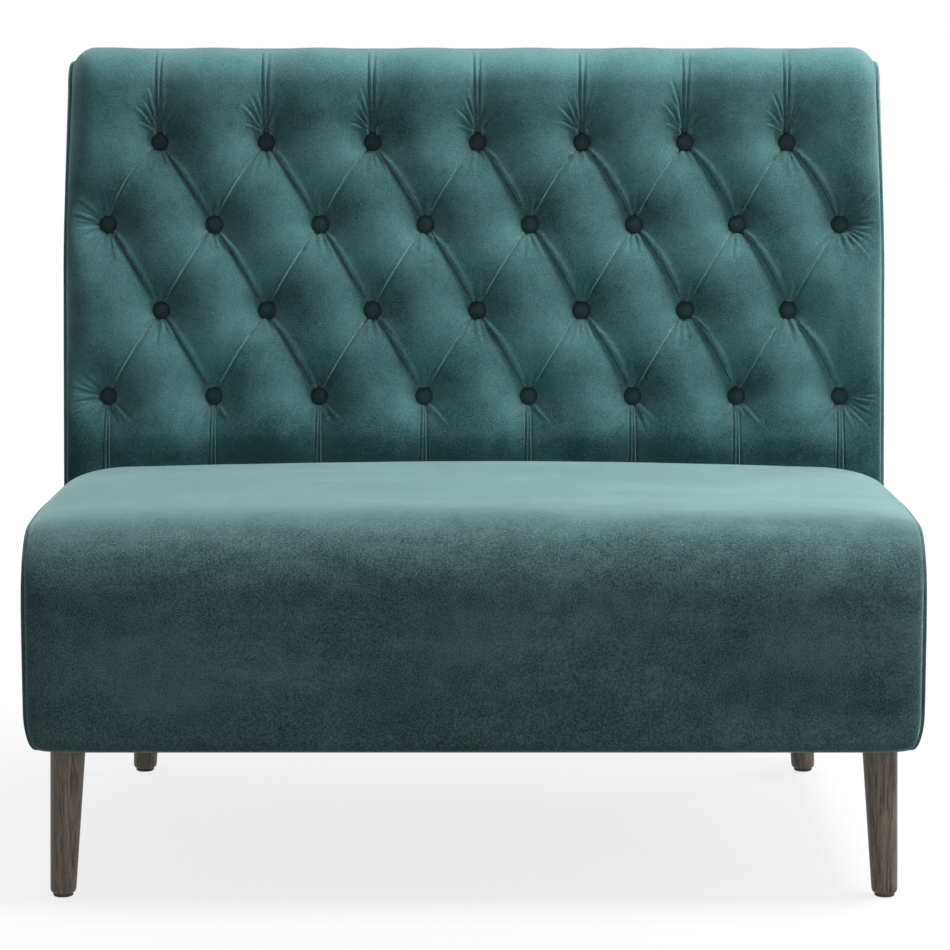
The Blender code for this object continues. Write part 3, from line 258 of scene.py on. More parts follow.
def add_fold(start, end, kind, bow=0.0, depth=1.0, lip=1.0, side=1, fade=0.0):
    """bow is how far its middle lies to the left of the line; fade is how much of it is gone at its end."""
    start, end = np.array(start, float), np.array(end, float)
    run = end - start
    left = np.array([-run[1], run[0]]) / np.hypot(*run)
    count = max(3, round(np.hypot(*run) / FOLD_SPACING))
    shares = np.linspace(0, 1, count + 1)
    line = start + shares[:, None] * run + (4 * bow * shares * (1 - shares))[:, None] * left
    strength = 1 - fade * shares ** 1.5
    FOLDS.append({"line": line, "strength": strength, "kind": kind, "depth": depth, "lip": lip, "side": side})


def way_out(angle, unsure):
    """A direction at about an angle in degrees from the right."""
    turn = math.radians(angle + draws.uniform(-unsure, unsure))
    return np.array([math.cos(turn), math.sin(turn)])


def add_spray(place, angles, lengths, kind, depth, lip, fade=1.0):
    """Folds that fan out from a button, at angles in degrees from the right."""
    for angle in angles:
        out = way_out(angle, 4)
        length = draws.uniform(*lengths)
        side = draws.choice((-1, 1))
        add_fold(place + SPRAY_START * out, place + length * out, kind, bow=draws.uniform(-0.001, 0.001),
                 depth=depth, lip=lip, side=side, fade=fade)


def add_diagonals():
    """Falling folds are flaps that bulge to the upper right. Rising ones are ridges, bulging to the left."""
    for (row, number), place in BUTTONS.items():
        shift = 0 if row + 1 < len(ROWS) and ROWS[row] > ROWS[row + 1] else 1
        for step in (-1, 0):
            other = BUTTONS.get((row + 1, number + step + shift))
            if other is None:
                continue
            if other[0] < place[0]:
                middle = (place[0] + other[0]) / 2
                bow = -FLAP_BOW * np.clip(0.45 + middle / SEAM_BACK, 0.15, 1)
                add_fold(place, other, "flap", bow=bow, depth=1.15, lip=1.35, side=-1)
            else:
                bow = RIDGE_BOW + (row == len(ROWS) - 2) * (RIDGE_BOW_HIGH + RIDGE_BOW_FIRST * (number == 0))
                add_fold(place, other, "ridge", bow=bow, depth=0.55, lip=draws.uniform(1.0, 1.35), side=1)


def add_top_folds():
    """A long tuck runs from each top button over the edge. Others fan out beside it and curl away."""
    row = len(ROWS) - 1
    for number in range(ROWS[row]):
        place = BUTTONS[row, number]
        lean = draws.uniform(-0.006, 0.001)
        add_fold(place + (-0.001, TUCK_START), (place[0] + lean, TOP_AT + 0.02), "tuck", bow=0.0010, side=-1,
                 fade=0.75)
        aside = lean + draws.uniform(0.007, 0.011)
        add_fold(place + (0.0025, TUCK_START), (place[0] + aside, TOP_AT - 0.010), "tuck", bow=0.0012,
                 depth=0.9, lip=0.9, side=-1, fade=1.0)
        for angle, reach in TOP_FAN:
            out = way_out(angle, 3)
            side = 1 if angle > 90 else -1
            add_fold(place + (-side * 0.0035, SPRAY_START), place + reach * draws.uniform(0.85, 1.15) * out,
                     "tuck", bow=-side * 0.0030, lip=1.1, side=side, fade=0.9)


def add_foot_folds():
    """A tuck, seen as two lines a finger's width apart, from each lowest button to the seat."""
    for number in range(ROWS[0]):
        place = BUTTONS[0, number]
        for side in (-1, 1):
            add_fold(place + (side * 0.0032, -0.009), (place[0] + side * 0.0042, -0.015), "ridge", depth=0.9,
                     lip=0.8, side=-side)


def add_gathers():
    """Short creases below each button and a few above it, where the cloth is drawn in."""
    for (row, number), place in BUTTONS.items():
        add_spray(place, BELOW_OTHERS if row else BELOW_LOWEST, (0.028, 0.050), "gather", 0.6, 1.15)
        if row < len(ROWS) - 1:
            add_spray(place, ABOVE, (0.028, 0.044), "gather", 0.7, 0.9)


def add_end_folds():
    """Creases that run from the end buttons of the long rows to the side seam."""
    for row, count in enumerate(ROWS):
        if count < max(ROWS):
            continue
        for number, side in ((0, -1), (count - 1, 1)):
            place = BUTTONS[row, number]
            for angle in END_FAN:
                middle = angle if side > 0 else 180 - angle
                length = (SEAM_BACK - abs(place[0])) / math.cos(math.radians(angle)) * 0.96
                add_spray(place, (middle,), (0.6 * length, length), "tuck", 0.45, 0.6, fade=0.8)


add_diagonals()
add_top_folds()
add_foot_folds()
add_gathers()
add_end_folds()
print(len(FOLDS), "folds")


# %% [markdown]
# The relief is measured at every point of the flat cloth: how full the pillow is, how far the buttons pull
# it in, and how deep the folds and how high their lips are there. A groove or a lip has a bell's profile,
# and the lists below say how wide it is and how far it lies from its fold's line.

# %% Measures of the relief at arrays of places
GROOVE_WIDTH = {"flap": 0.0012, "ridge": 0.0009, "tuck": 0.0014, "gather": 0.0018}
GROOVE_AT = {"flap": -0.0002, "ridge": -0.0005, "tuck": -0.0007, "gather": -0.0018}
LIP_HEIGHT = {"flap": 1.0, "ridge": 0.75, "tuck": 0.9, "gather": 0.80}
LIP_AT = {"ridge": 0.0018, "tuck": 0.0026, "gather": 0.0022}
LIP_WIDTH = {"ridge": 0.0011, "tuck": 0.0018, "gather": 0.0024}
FLAP_STEP = 0.0009
FLAP_WIDTH = 0.0056
FLAP_EDGE = 0.0022
FOLD_REACH = 0.013
FOLD_REACH_FADE = 0.003
WELL = 0.15
WELL_RADIUS = 0.0140
PULL_BASE = 0.35


def pillow_at(x, along):
    """0 along the diagonals between the buttons, 1 in the middle of a pillow."""
    moved = np.clip(x - drift(x, along), -LAST_X, LAST_X)
    column = moved / PITCH + ROWS[0] % 2 / 2
    row = np.interp(along, ROW_LEVELS, range(len(ROWS)))
    first, second = column + row / 2 + 0.5, column - row / 2 + 0.5
    return np.abs(np.sin(math.pi * first) * np.sin(math.pi * second)) ** 0.6


def button_pull(x, along, reach):
    """How far the buttons pull the cloth in, from 0 to about 1, as a cone with a soft rim."""
    total = np.zeros_like(x)
    for place in BUTTONS.values():
        apart = np.hypot(x - place[0], along - place[1])
        total += np.exp(-apart / reach) + WELL * np.exp(-((apart / WELL_RADIUS) ** 4))
    return total - PULL_BASE


def bell(signed, middle, width):
    return np.exp(-(((signed - middle) / width) ** 2))


def lip_profile(kind, signed, share):
    """The lip's height at signed distances from the fold, from 0 to 1. A flap is widest in its middle."""
    if kind == "flap":
        width = FLAP_WIDTH * (0.15 + 0.85 * np.sin(math.pi * np.clip(share, 0, 1)))
        past = (signed - FLAP_STEP) / width
        edge = np.clip(1 - (signed - FLAP_STEP - width) / FLAP_EDGE, 0, 1)
        return np.clip(signed / FLAP_STEP, 0, 1) * (1 - 0.62 * np.clip(past, 0, 1) ** 0.7) * edge ** 1.5
    return bell(signed, LIP_AT[kind], LIP_WIDTH[kind])


def fold_relief(x, along):
    """The grooves and the lips of all folds, each summed from 0 to about 1."""
    groove, lips = np.zeros_like(x), np.zeros_like(x)
    for fold in FOLDS:
        line, kind = fold["line"], fold["kind"]
        low, high = line.min(0) - FOLD_REACH, line.max(0) + FOLD_REACH
        near = np.flatnonzero((x > low[0]) & (x < high[0]) & (along > low[1]) & (along < high[1]))
        if not len(near):
            continue
        point = np.stack([x[near], along[near]], axis=1)
        run = line[1:] - line[:-1]
        offset = point[:, None] - line[None, :-1]
        share = np.clip((offset * run).sum(2) / (run ** 2).sum(1), 0, 1)
        away = offset - share[..., None] * run
        apart = np.hypot(away[..., 0], away[..., 1])
        nearest = apart.argmin(1)
        pick = np.arange(len(near))
        apart = apart[pick, nearest]
        side = np.sign(run[nearest, 0] * away[pick, nearest, 1] - run[nearest, 1] * away[pick, nearest, 0])
        station = nearest + share[pick, nearest]
        there = np.interp(station, np.arange(len(line)), fold["strength"])
        signed = apart * side * fold["side"]
        within = np.clip((FOLD_REACH - apart) / FOLD_REACH_FADE, 0, 1)
        lip = lip_profile(kind, signed, station / (len(line) - 1))
        groove[near] += fold["depth"] * there * bell(signed, GROOVE_AT[kind], GROOVE_WIDTH[kind])
        lips[near] += fold["lip"] * LIP_HEIGHT[kind] * there * within * lip
    return groove, lips


print("grooves and lips for", len(GROOVE_WIDTH), "kinds of fold")

# %% [markdown]
# ## A mesh whose points follow the folds
# An even grid blurs a fold that crosses it at a slant. Here rows of points run beside each fold, close
# together near its line, rings of points lie round each button, and an even field fills the rest. A
# Delaunay triangulation joins them, which is what a remesher does, but with the points where they matter.

# %% Points for the flat cloth, thinned so that none crowd each other
FOLD_OFFSETS = {"flap": (0, 0.0006, 0.0013, 0.0024, 0.0040, 0.0056, 0.0072, 0.0090),
                "ridge": (0, 0.0008, 0.0016, 0.0024, 0.0034, 0.0050),
                "tuck": (0, 0.0010, 0.0020, 0.0032, 0.0048),
                "gather": (0, 0.0014, 0.0028, 0.0046)}
SEAM_OFFSETS = (0, 0.0008, 0.0016, 0.0026, 0.0045, 0.0075)
RING_RADII = (0.004, 0.007, 0.010, 0.0125, 0.015, 0.018, 0.021, 0.025)
RING_SPACING, SIDE_SPACING, FIELD_SPACING = 0.0028, 0.004, 0.005
POINTS_ACROSS = 250
CLOSEST = 0.0007
FOLD_MARGIN, FIELD_MARGIN, FIELD_INSET, FIELD_FOOT = 0.008, 0.010, 0.011, 0.003
FIELD_CLEAR = 0.004
TRIANGLE_HEIGHT = 0.866


def thinned(points, spacing):
    """Keep the first point in each small square, so that earlier points win."""
    keys = np.round(points / spacing).astype(np.int64)
    _, first = np.unique(keys, axis=0, return_index=True)
    return points[np.sort(first)]


def fold_points():
    rows = []
    for fold in FOLDS:
        line = fold["line"]
        run = np.gradient(line, axis=0)
        normal = np.stack([-run[:, 1], run[:, 0]], axis=1) / np.hypot(run[:, 0], run[:, 1])[:, None]
        rows += [line + sign * size * normal for size in FOLD_OFFSETS[fold["kind"]] for sign in (-1, 1)]
    return np.concatenate(rows)


def ring_points():
    rows = []
    for place in BUTTONS.values():
        for radius in RING_RADII:
            count = max(8, round(math.tau * radius / RING_SPACING))
            angles = np.linspace(0, math.tau, count, endpoint=False)
            rows.append(place + radius * np.stack([np.cos(angles), np.sin(angles)], axis=1))
        rows.append(place[None, :])
    return np.concatenate(rows)


def edge_points():
    """Rows of points beside the side seams and the rear edge, for the dip into them, and along the foot."""
    count = round((BACK_END - BACK_START) / SIDE_SPACING)
    sides = [(edge - math.copysign(offset, edge), value) for edge in (-SEAM_BACK, SEAM_BACK)
             for offset in SEAM_OFFSETS for value in np.linspace(BACK_START, BACK_END, count + 1)]
    corner = SEAM_BACK - SEAM_OFFSETS[-2]
    across = np.linspace(-corner, corner, POINTS_ACROSS)
    rear = [(x, BACK_END - offset) for offset in SEAM_OFFSETS for x in across]
    return np.array(sides + rear + [(x, BACK_START) for x in across])


def field_points():
    """An even field of triangles."""
    columns = np.arange(-SEAM_BACK + FIELD_INSET, SEAM_BACK - FIELD_MARGIN, FIELD_SPACING)
    rows = np.arange(BACK_START + FIELD_FOOT, BACK_END - FIELD_INSET, FIELD_SPACING * TRIANGLE_HEIGHT)
    x, along = np.meshgrid(columns, rows)
    x = x + (np.arange(len(rows)) % 2)[:, None] * FIELD_SPACING / 2
    inside = np.abs(x) < SEAM_BACK - FIELD_MARGIN
    return np.stack([x[inside], along[inside]], axis=1)


def flat_back_points():
    near = thinned(np.concatenate([fold_points(), ring_points()]), CLOSEST)
    near = near[(np.abs(near[:, 0]) < SEAM_BACK - FOLD_MARGIN) & (near[:, 1] < BACK_END - FOLD_MARGIN)]
    taken = set(map(tuple, np.round(near / FIELD_CLEAR).astype(int)))
    field = field_points()
    free = [tuple(cell) not in taken for cell in np.round(field / FIELD_CLEAR).astype(int)]
    return np.concatenate([edge_points(), near, field[free]])


flat_points = flat_back_points()
print(len(flat_points), "points on the flat back cloth")


# %% Join them, and close the cloth into a padded body
def flat_mesh(points):
    """A triangulated flat sheet in a bmesh."""
    corners, _, faces, *_ = delaunay_2d_cdt([Vector(point) for point in points], [], [], 0, 1e-7, False)
    bm = bmesh.new()
    verts = [bm.verts.new((corner.x, corner.y, 0)) for corner in corners]
    for face in faces:
        bm.faces.new([verts[index] for index in face])
    return bm


def ring_of(bm):
    """The sheet's border vertices in order."""
    edge = next(edge for edge in bm.edges if edge.is_boundary)
    ring, here = [edge.verts[0]], edge.verts[1]
    while here != ring[0]:
        ring.append(here)
        here = next(other for link in here.link_edges if link.is_boundary
                    for other in [link.other_vert(here)] if other != ring[-2])
    return ring


def close_behind(bm, fold):
    """Give a flat sheet a second border below it and two flat faces that meet at a fold across it."""
    ring = ring_of(bm)
    low = [bm.verts.new((vert.co.x, vert.co.y, -1)) for vert in ring]
    for index in range(len(ring)):
        bm.faces.new((ring[index - 1], ring[index], low[index], low[index - 1]))
    limit = fold + 1e-6
    start = next(index for index, vert in enumerate(low) if vert.co.y <= limit < low[index - 1].co.y)
    low = low[start:] + low[:start]
    before = [vert for vert in low if vert.co.y <= limit]
    behind = [vert for vert in low if vert.co.y > limit]
    bm.faces.new(before)
    bm.faces.new([before[-1]] + behind + [before[0]])
    bmesh.ops.recalc_face_normals(bm, faces=bm.faces[:])


def coordinates(mesh):
    values = np.empty(len(mesh.vertices) * 3, np.float32)
    mesh.vertices.foreach_get("co", values)
    return values.reshape(-1, 3).astype(float)


def set_coordinates(mesh, points):
    mesh.vertices.foreach_set("co", points.astype(np.float32).ravel())
    mesh.update()


def new_piece(name, mesh):
    piece = bpy.data.objects.new(name, mesh)
    bpy.context.scene.collection.objects.link(piece)
    return piece


def mesh_of(bm, name):
    mesh = bpy.data.meshes.new(name)
    bm.to_mesh(mesh)
    bm.free()
    mesh.shade_smooth()
    return mesh


def as_mesh(holder):
    """The mesh that an object and its modifiers give. The object itself is removed."""
    shaped = holder.evaluated_get(bpy.context.evaluated_depsgraph_get())
    mesh = bpy.data.meshes.new_from_object(shaped)
    bpy.data.objects.remove(holder, do_unlink=True)
    return mesh


# %% [markdown]
# ## A small language for node trees
# Trees are easier to read as a list of steps than as a list of links. This helper adds a node, sets or
# links its inputs, and returns one of its outputs, so that trees read like sums. Every geometry tree has
# named inputs and ends alike: its copies are made real and get their material.


# %% Helper for shader and geometry trees
class Tree:
    def __init__(self, tree):
        self.tree = tree

    def fill(self, node, values):
        """Set or link inputs; values is a dict or list, each value a number or another node's output."""
        for key, value in values.items() if isinstance(values, dict) else enumerate(values):
            if isinstance(value, bpy.types.NodeSocket):
                self.tree.links.new(value, node.inputs[key])
            else:
                node.inputs[key].default_value = value

    def node(self, kind, values=(), output=0, **settings):
        """Add a node, fill its inputs and return one of its outputs."""
        made = self.tree.nodes.new(kind)
        for key, value in settings.items():
            setattr(made, key, value)
        self.fill(made, values)
        return made.outputs[output]

    def math(self, operation, *values):
        return self.node("ShaderNodeMath", values, operation=operation)

    def mix(self, share, dark, light):
        """A colour between two."""
        colors = {0: share, 6: (*dark, 1), 7: (*light, 1)}
        return self.node("ShaderNodeMix", colors, output=2, data_type="RGBA")

    def noise(self, place, scale, detail, roughness=0.5, distortion=0.0):
        values = {0: place, 2: scale, 3: detail, 4: roughness, 8: distortion}
        return self.node("ShaderNodeTexNoise", values)

    def stretched(self, scale):
        """The object's own coordinates, scaled along each axis."""
        return self.node("ShaderNodeMapping", {0: self.node("ShaderNodeTexCoord", output=3), 3: scale})

    def bump(self, strength, distance, height):
        return self.node("ShaderNodeBump", {"Strength": strength, "Distance": distance, "Height": height})

    def spread(self, value, low, high, start=0.0, end=1.0):
        """Map a value from one range onto another, clamped."""
        return self.node("ShaderNodeMapRange", [value, low, high, start, end])

    def close(self, geometry, material, target):
        """End a geometry tree."""
        real = self.node("GeometryNodeRealizeInstances", {0: geometry})
        shown = self.node("GeometryNodeSetMaterial", {0: real, "Material": material})
        self.fill(target, [shown])


def new_finish(title):
    """A material, the helper for its tree and its shader."""
    material = bpy.data.materials.new(title)
    material.use_nodes = True
    return material, Tree(material.node_tree), material.node_tree.nodes["Principled BSDF"]


def new_modifier_tree(title, inputs):
    """A geometry tree with named inputs after its geometry, and its first and last nodes."""
    group = bpy.data.node_groups.new(title, "GeometryNodeTree")
    group.interface.new_socket("Geometry", in_out="INPUT", socket_type="NodeSocketGeometry")
    group.interface.new_socket("Geometry", in_out="OUTPUT", socket_type="NodeSocketGeometry")
    for name, kind, default in inputs:
        socket = group.interface.new_socket(name, in_out="INPUT", socket_type="NodeSocket" + kind)
        if default is not None:
            socket.default_value = default
    return group, group.nodes.new("NodeGroupInput"), group.nodes.new("NodeGroupOutput")


def run_tree(name, mesh, group, values):
    """Run a geometry tree on a mesh and return its result as a plain mesh."""
    holder = new_piece(name + "_source", mesh)
    modifier = holder.modifiers.new("made by nodes", "NODES")
    modifier.node_group = group
    for item in group.interface.items_tree:
        if item.in_out == "INPUT" and item.name in values:
            modifier[item.identifier] = values[item.name]
    result = as_mesh(holder)
    result.name = name
    return result


# %% [markdown]
# ## Velvet
# Velvet is a short upright pile. Seen straight on it is dark, because the eye looks down between the
# fibres, and seen at a slant it shines, which is what sheen does. Pile that was brushed or sat on leans
# and shows as soft clouds and streaks, and single tufts show as a fine grain. Painted light and shade are
# added too: the mesh carries them as an attribute, which is added to the tone.

# %% The velvet's material
CLOUDS, PATCHES, TUFTS, PILE = (2.6, 5.0, 0.62, 0.6), (34.0, 4.0, 0.6), (470.0, 3.0, 0.75), (1300.0, 2.0, 0.7)
PILE_SHARE = 0.12
PILE_HEIGHT = 0.0016
SHEEN_TINT = (0.56, 0.82, 0.81, 1)


def velvet(title, dark, light, streak=(3.0, 3.0, 3.0), cloud=0.34, patch=0.16, grain=0.42, lift=-0.05,
           sheen=1.0):
    """cloud, patch and grain are how much of the tone comes from slow clouds, patches and single tufts."""
    material, tree, shader = new_finish(title)
    place = tree.node("ShaderNodeTexCoord", output=3)
    clouds = tree.noise(tree.stretched(streak), *CLOUDS)
    patches, tufts, pile = (tree.noise(place, *numbers) for numbers in (PATCHES, TUFTS, PILE))
    tone = tree.math("MULTIPLY_ADD", tree.spread(clouds, 0.34, 0.66), cloud, lift)
    tone = tree.math("MULTIPLY_ADD", tree.spread(patches, 0.32, 0.68), patch, tone)
    tone = tree.math("MULTIPLY_ADD", tree.spread(tufts, 0.35, 0.65), grain, tone)
    tone = tree.math("MULTIPLY_ADD", tree.spread(pile, 0.30, 0.70), PILE_SHARE, tone)
    # Painted light and shade, stored on the mesh as an attribute, lightens or darkens the tone.
    nap = tree.node("ShaderNodeAttribute", output=2, attribute_name="nap")
    height = tree.math("MULTIPLY_ADD", tufts, 0.6, tree.math("MULTIPLY", pile, 0.4))
    tree.fill(shader, {
        "Base Color": tree.mix(tree.math("ADD", nap, tone), dark, light), "Roughness": 0.85,
        "Specular IOR Level": 0.15, "Sheen Weight": sheen, "Sheen Roughness": 0.38,
        "Sheen Tint": SHEEN_TINT, "Normal": tree.bump(0.7, PILE_HEIGHT, height)})
    return material


back_velvet = velvet("back velvet", (0.011, 0.050, 0.052), (0.110, 0.262, 0.268))
# The seat's velvet is the back's cloth with a much paler and greyer light tone: painted light and painted
# sheen, brought out on the seat's top.
seat_velvet_painted_light = velvet("seat velvet", (0.016, 0.050, 0.052), (0.320, 0.560, 0.555), streak=(1.6, 5.5, 4.0),
                     cloud=0.12, patch=0.08, grain=0.26, lift=-0.13)
# The buttons' velvet is much darker than the back's, partly darker cloth and partly painted shade of the pits
# they sit in.
button_velvet = velvet("button velvet", (0.011, 0.025, 0.027), (0.036, 0.076, 0.081), sheen=0.35)
print("velvet for the back, the seat and the buttons")

# %% [markdown]
# ## The inside back
# The relief is a Geometry Nodes tree, because it is a rule with a few sizes: pillows of one height,
# dimples of one depth, folds with a groove and a lip. The measures come in as attributes of the points.

# %% The tree that raises pillows, dimples and folds
def relief_tree():
    group, source, target = new_modifier_tree("tufted relief", [
        ("Pillow height", "Float", 0.0098), ("Dimple depth", "Float", 0.031), ("Fullness", "Float", 0.0040),
        ("Fold depth", "Float", 0.0030), ("Lip height", "Float", 0.0025), ("Cover", "Material", None)])
    tree = Tree(group)

    def measured(name):
        return tree.node("GeometryNodeInputNamedAttribute", {0: name}, data_type="FLOAT")

    def size(name):
        return source.outputs[name]

    hollow = tree.math("SUBTRACT", 1.0, measured("pillow"))
    relief = tree.math("MULTIPLY", hollow, size("Pillow height"))
    relief = tree.math("MULTIPLY_ADD", measured("pull"), size("Dimple depth"), relief)
    relief = tree.math("MULTIPLY", tree.math("SUBTRACT", relief, size("Fullness")), measured("hold"))
    groove = tree.math("MULTIPLY", measured("groove"), size("Fold depth"))
    fold = tree.math("SUBTRACT", tree.math("MULTIPLY", measured("lip"), size("Lip height")), groove)
    rise = tree.math("SUBTRACT", tree.math("MULTIPLY", fold, measured("firm")), relief)
    offset = tree.node("ShaderNodeCombineXYZ", [0.0, 0.0, rise])
    moved = tree.node("GeometryNodeSetPosition", {0: source.outputs[0], "Offset": offset})
    tree.close(moved, size("Cover"), target)
    return group


RELIEF = relief_tree()
print("the relief tree has", len(RELIEF.nodes), "nodes")

# %% [markdown]
# The tree holds its relief back where there is none on the real object: at the side seams, past the top and
# at the foot. Beyond its fold line the closed body's inner side lies on the top board instead of the
# tufting board. Light is painted onto the top edge and shade onto the foot. Round each button there is a
# painted highlight on its left and painted shade on its right, as a light from the right gives.

# %% Make the tufted piece
PILLOW_FADE = 0.036
DIMPLE_REACH = 0.030
BOARD_DEPTH = 0.062
TOP_SLACK = 0.0028
FOLD_LINE = SLOPE + 0.5 * TOP_ARC
CALM_RADIUS, CALM_FADE = 0.0105, 0.003
SEAM_CALM, SEAM_CALM_FADE = 0.003, 0.004
FOOT_FADE, FOOT_HOLD = 0.03, 0.35
FOLDS_PAST_TOP = 0.03
TOP_DIP_LOST = 0.65
# Painted light on the top edge of the back.
PAINTED_TOP_LIGHT, PAINTED_TOP_FROM, PAINTED_TOP_RUN = 0.42, 0.035, 0.075
# Painted shade at the foot of the back, next to the seat.
PAINTED_FOOT_SHADE, PAINTED_FOOT_RUN = 0.50, 0.080
# Painted light and shade round each button, as from a light on the right.
BUTTON_SHADE_TONE, BUTTON_SHADE_REACH = 0.17, 0.030


def painted_button_shading(x, along):
    """Painted light and shade round each button: paler on its left, darker on its right, as a light from the
    right gives.
    """
    total = np.zeros_like(x)
    for place in BUTTONS.values():
        aside, up = (x - place[0]) / BUTTON_SHADE_REACH, (along - place[1]) / BUTTON_SHADE_REACH
        total -= (aside + 0.4 * up) * np.exp(0.5 - (aside ** 2 + up ** 2) / 2)
    return BUTTON_SHADE_TONE * total


def store(mesh, name, values):
    mesh.attributes.new(name, "FLOAT", "POINT").data.foreach_set("value", values.astype(np.float32))


def make_inside_back():
    bm = flat_mesh(np.concatenate([flat_points, [(-SEAM_BACK, FOLD_LINE), (SEAM_BACK, FOLD_LINE)]]))
    close_behind(bm, FOLD_LINE)
    mesh = mesh_of(bm, "inside_back")
    flat = coordinates(mesh)
    x, along, layer = flat.T
    groove, lips = fold_relief(x, along)
    to_button = np.min([np.hypot(x - place[0], along - place[1]) for place in BUTTONS.values()], axis=0)
    calm = np.clip((to_button - CALM_RADIUS) / CALM_FADE, 0, 1)
    over_top = np.clip((along - SLOPE) / TOP_ARC, 0, 1)
    to_side = np.clip((np.abs(x) - (SEAM_BACK - PILLOW_FADE)) / PILLOW_FADE, 0, 1)
    foot = FOOT_HOLD + (1 - FOOT_HOLD) * np.clip(along / FOOT_FADE, 0, 1)
    outer = layer > -0.5
    near_seam = np.clip((SEAM_BACK - SEAM_CALM - np.abs(x)) / SEAM_CALM_FADE, 0, 1)
    past_top = 1 - np.clip((along - TOP_AT) / FOLDS_PAST_TOP, 0, 1)
    store(mesh, "pillow", pillow_at(x, along))
    store(mesh, "pull", button_pull(x, along, DIMPLE_REACH))
    store(mesh, "groove", groove * calm)
    store(mesh, "lip", lips * calm)
    store(mesh, "hold", (1 - over_top ** 2) * (1 - to_side ** 2) * foot * outer)
    store(mesh, "firm", near_seam * past_top * outer)
    # Painted light on the top edge, where light from above falls.
    painted_top_light = PAINTED_TOP_LIGHT * np.clip((along - SLOPE + PAINTED_TOP_FROM) / PAINTED_TOP_RUN, 0, 1)
    # Painted shade at the foot, where the seat meets the back.
    painted_foot_shade = PAINTED_FOOT_SHADE * np.clip(1 - along / PAINTED_FOOT_RUN, 0, 1)
    store(mesh, "nap", painted_top_light - painted_foot_shade + painted_button_shading(x, along) * outer)
    shaped = run_tree("inside_back", mesh, RELIEF, {"Cover": back_velvet})
    return shaped, flat, coordinates(shaped)[:, 2] - layer


def seam_dip(x, half, along, end):
    """How far the surface turns in at its sewn edges."""
    to_edge = np.minimum(half - np.abs(x), end - along)
    share = np.clip(1 - to_edge / (2 * SEAM_DIP), 0, 1)
    return SEAM_DIP * (1 - np.sqrt(1 - share ** 2))


def dress_inside_back():
    mesh, flat, rise = make_inside_back()
    x, along, layer = flat.T
    over_top = np.clip((along - SLOPE) / TOP_ARC, 0, 1)
    dip = seam_dip(x, SEAM_BACK, along, BACK_END) * (1 - TOP_DIP_LOST * over_top)
    rise = rise - back_edge_drop(x, along) - top_fall(along) - dip - TOP_SLACK * over_top
    outer = laid_on(BACK_SECTION, x, along, rise)
    outer[:, 0] -= pulled_in(along, along - TOP_AT) * (x / SEAM_BACK) ** 7
    pad_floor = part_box("back_top_board")[1].z + GAP
    fold_up = (pad_floor - SEAT_HEIGHT + BOARD_DEPTH * math.sin(LEAN)) / math.cos(LEAN)
    up = np.where(along < 0, along, along * fold_up / FOLD_LINE)
    board_y = INSIDE_BACK + BOARD_DEPTH * math.cos(LEAN)
    inner = np.stack([x, board_y + up * math.sin(LEAN),
                      SEAT_HEIGHT - BOARD_DEPTH * math.sin(LEAN) + up * math.cos(LEAN)], axis=1)
    fold_y = board_y + fold_up * math.sin(LEAN)
    share = (along - FOLD_LINE) / (BACK_END - FOLD_LINE)
    top = np.stack([x, fold_y + share * (REAR_FACE - fold_y), np.full_like(x, pad_floor)], axis=1)
    inner = np.where((along > FOLD_LINE)[:, None], top, inner)
    set_coordinates(mesh, np.where((layer < -0.5)[:, None], inner, outer))
    mesh.set_sharp_from_angle(angle=SHARP_FOLD)
    piece = new_piece("inside_back", mesh)
    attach(piece, "root")
    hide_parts("back_cover", "back_foam", "back_top_pad")
    return piece


inside_back = dress_inside_back()
print("inside back:", len(inside_back.data.polygons), "faces")

# %% [markdown]
# ## The seat
# The seat is one sprung block under a single panel of velvet that runs up the front and over the top. It
# is laid on its section like the back, with a soft uneven crown. Light is painted onto it, more and more
# from the front face over the turn to the top, which makes the top paler, as light from above does.

# %% Make the seat block
FLOOR_OF_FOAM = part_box("seat_foam")[0].z
RAIL_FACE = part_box("seat_front_rail")[0].y - GAP
SEAT_SPACING = 0.006
SEAT_UNEVEN, UNEVEN_FADE = 0.0006, 0.05


def spaced(start, end, spacing):
    """Even steps from start to end, with extra ones close to both ends."""
    first, last = start + SEAM_OFFSETS[-1], end - SEAM_OFFSETS[-1]
    inner = np.linspace(first, last, max(2, round((end - start) / spacing)))
    return [*(start + value for value in SEAM_OFFSETS[:-1]), *inner,
            *(end - value for value in SEAM_OFFSETS[-2::-1])]


def grid_mesh(columns, rows):
    bm = bmesh.new()
    bmesh.ops.create_grid(bm, x_segments=len(columns) - 1, y_segments=len(rows) - 1, size=1)
    for vert in bm.verts:
        column, row = (vert.co.x + 1) / 2 * (len(columns) - 1), (vert.co.y + 1) / 2 * (len(rows) - 1)
        vert.co = (columns[round(column)], rows[round(row)], 0)
    return bm


def undulation(first, second, height):
    """Slow unevenness of hand laid stuffing, as a few long waves."""
    long = np.sin(9.1 * first + 0.7) * np.sin(7.3 * second + 1.9)
    middle = np.sin(17.0 * first - 1.1) * np.sin(13.0 * second + 0.4)
    short = np.sin(31.0 * first + 2.2) * np.sin(27.0 * second)
    return height * (long + 0.6 * middle + 0.35 * short)


# Painted light on the seat: its tone rises from the front face over the turn to the top.
SEAT_SHADING_STATIONS = (SEAT_FACE_START + 0.03, SEAT_FACE_START + 0.12, TURN_START + 0.02, TURN_START + 0.07,
                TURN_START + 0.10, TURN_START + 0.125, SEAT_TOP_START, SEAT_TOP_START + 0.05)
SEAT_SHADING = (-0.05, 0.0, -0.05, -0.01, 0.07, 0.18, 0.29, 0.46)
SEAT_END = SEAT_TOP_START + INSIDE_BACK - FRONT - FRONT_ROUND - 2 * GAP
SEAT_FOLD = TURN_START + 0.5 * SEAT_ARC


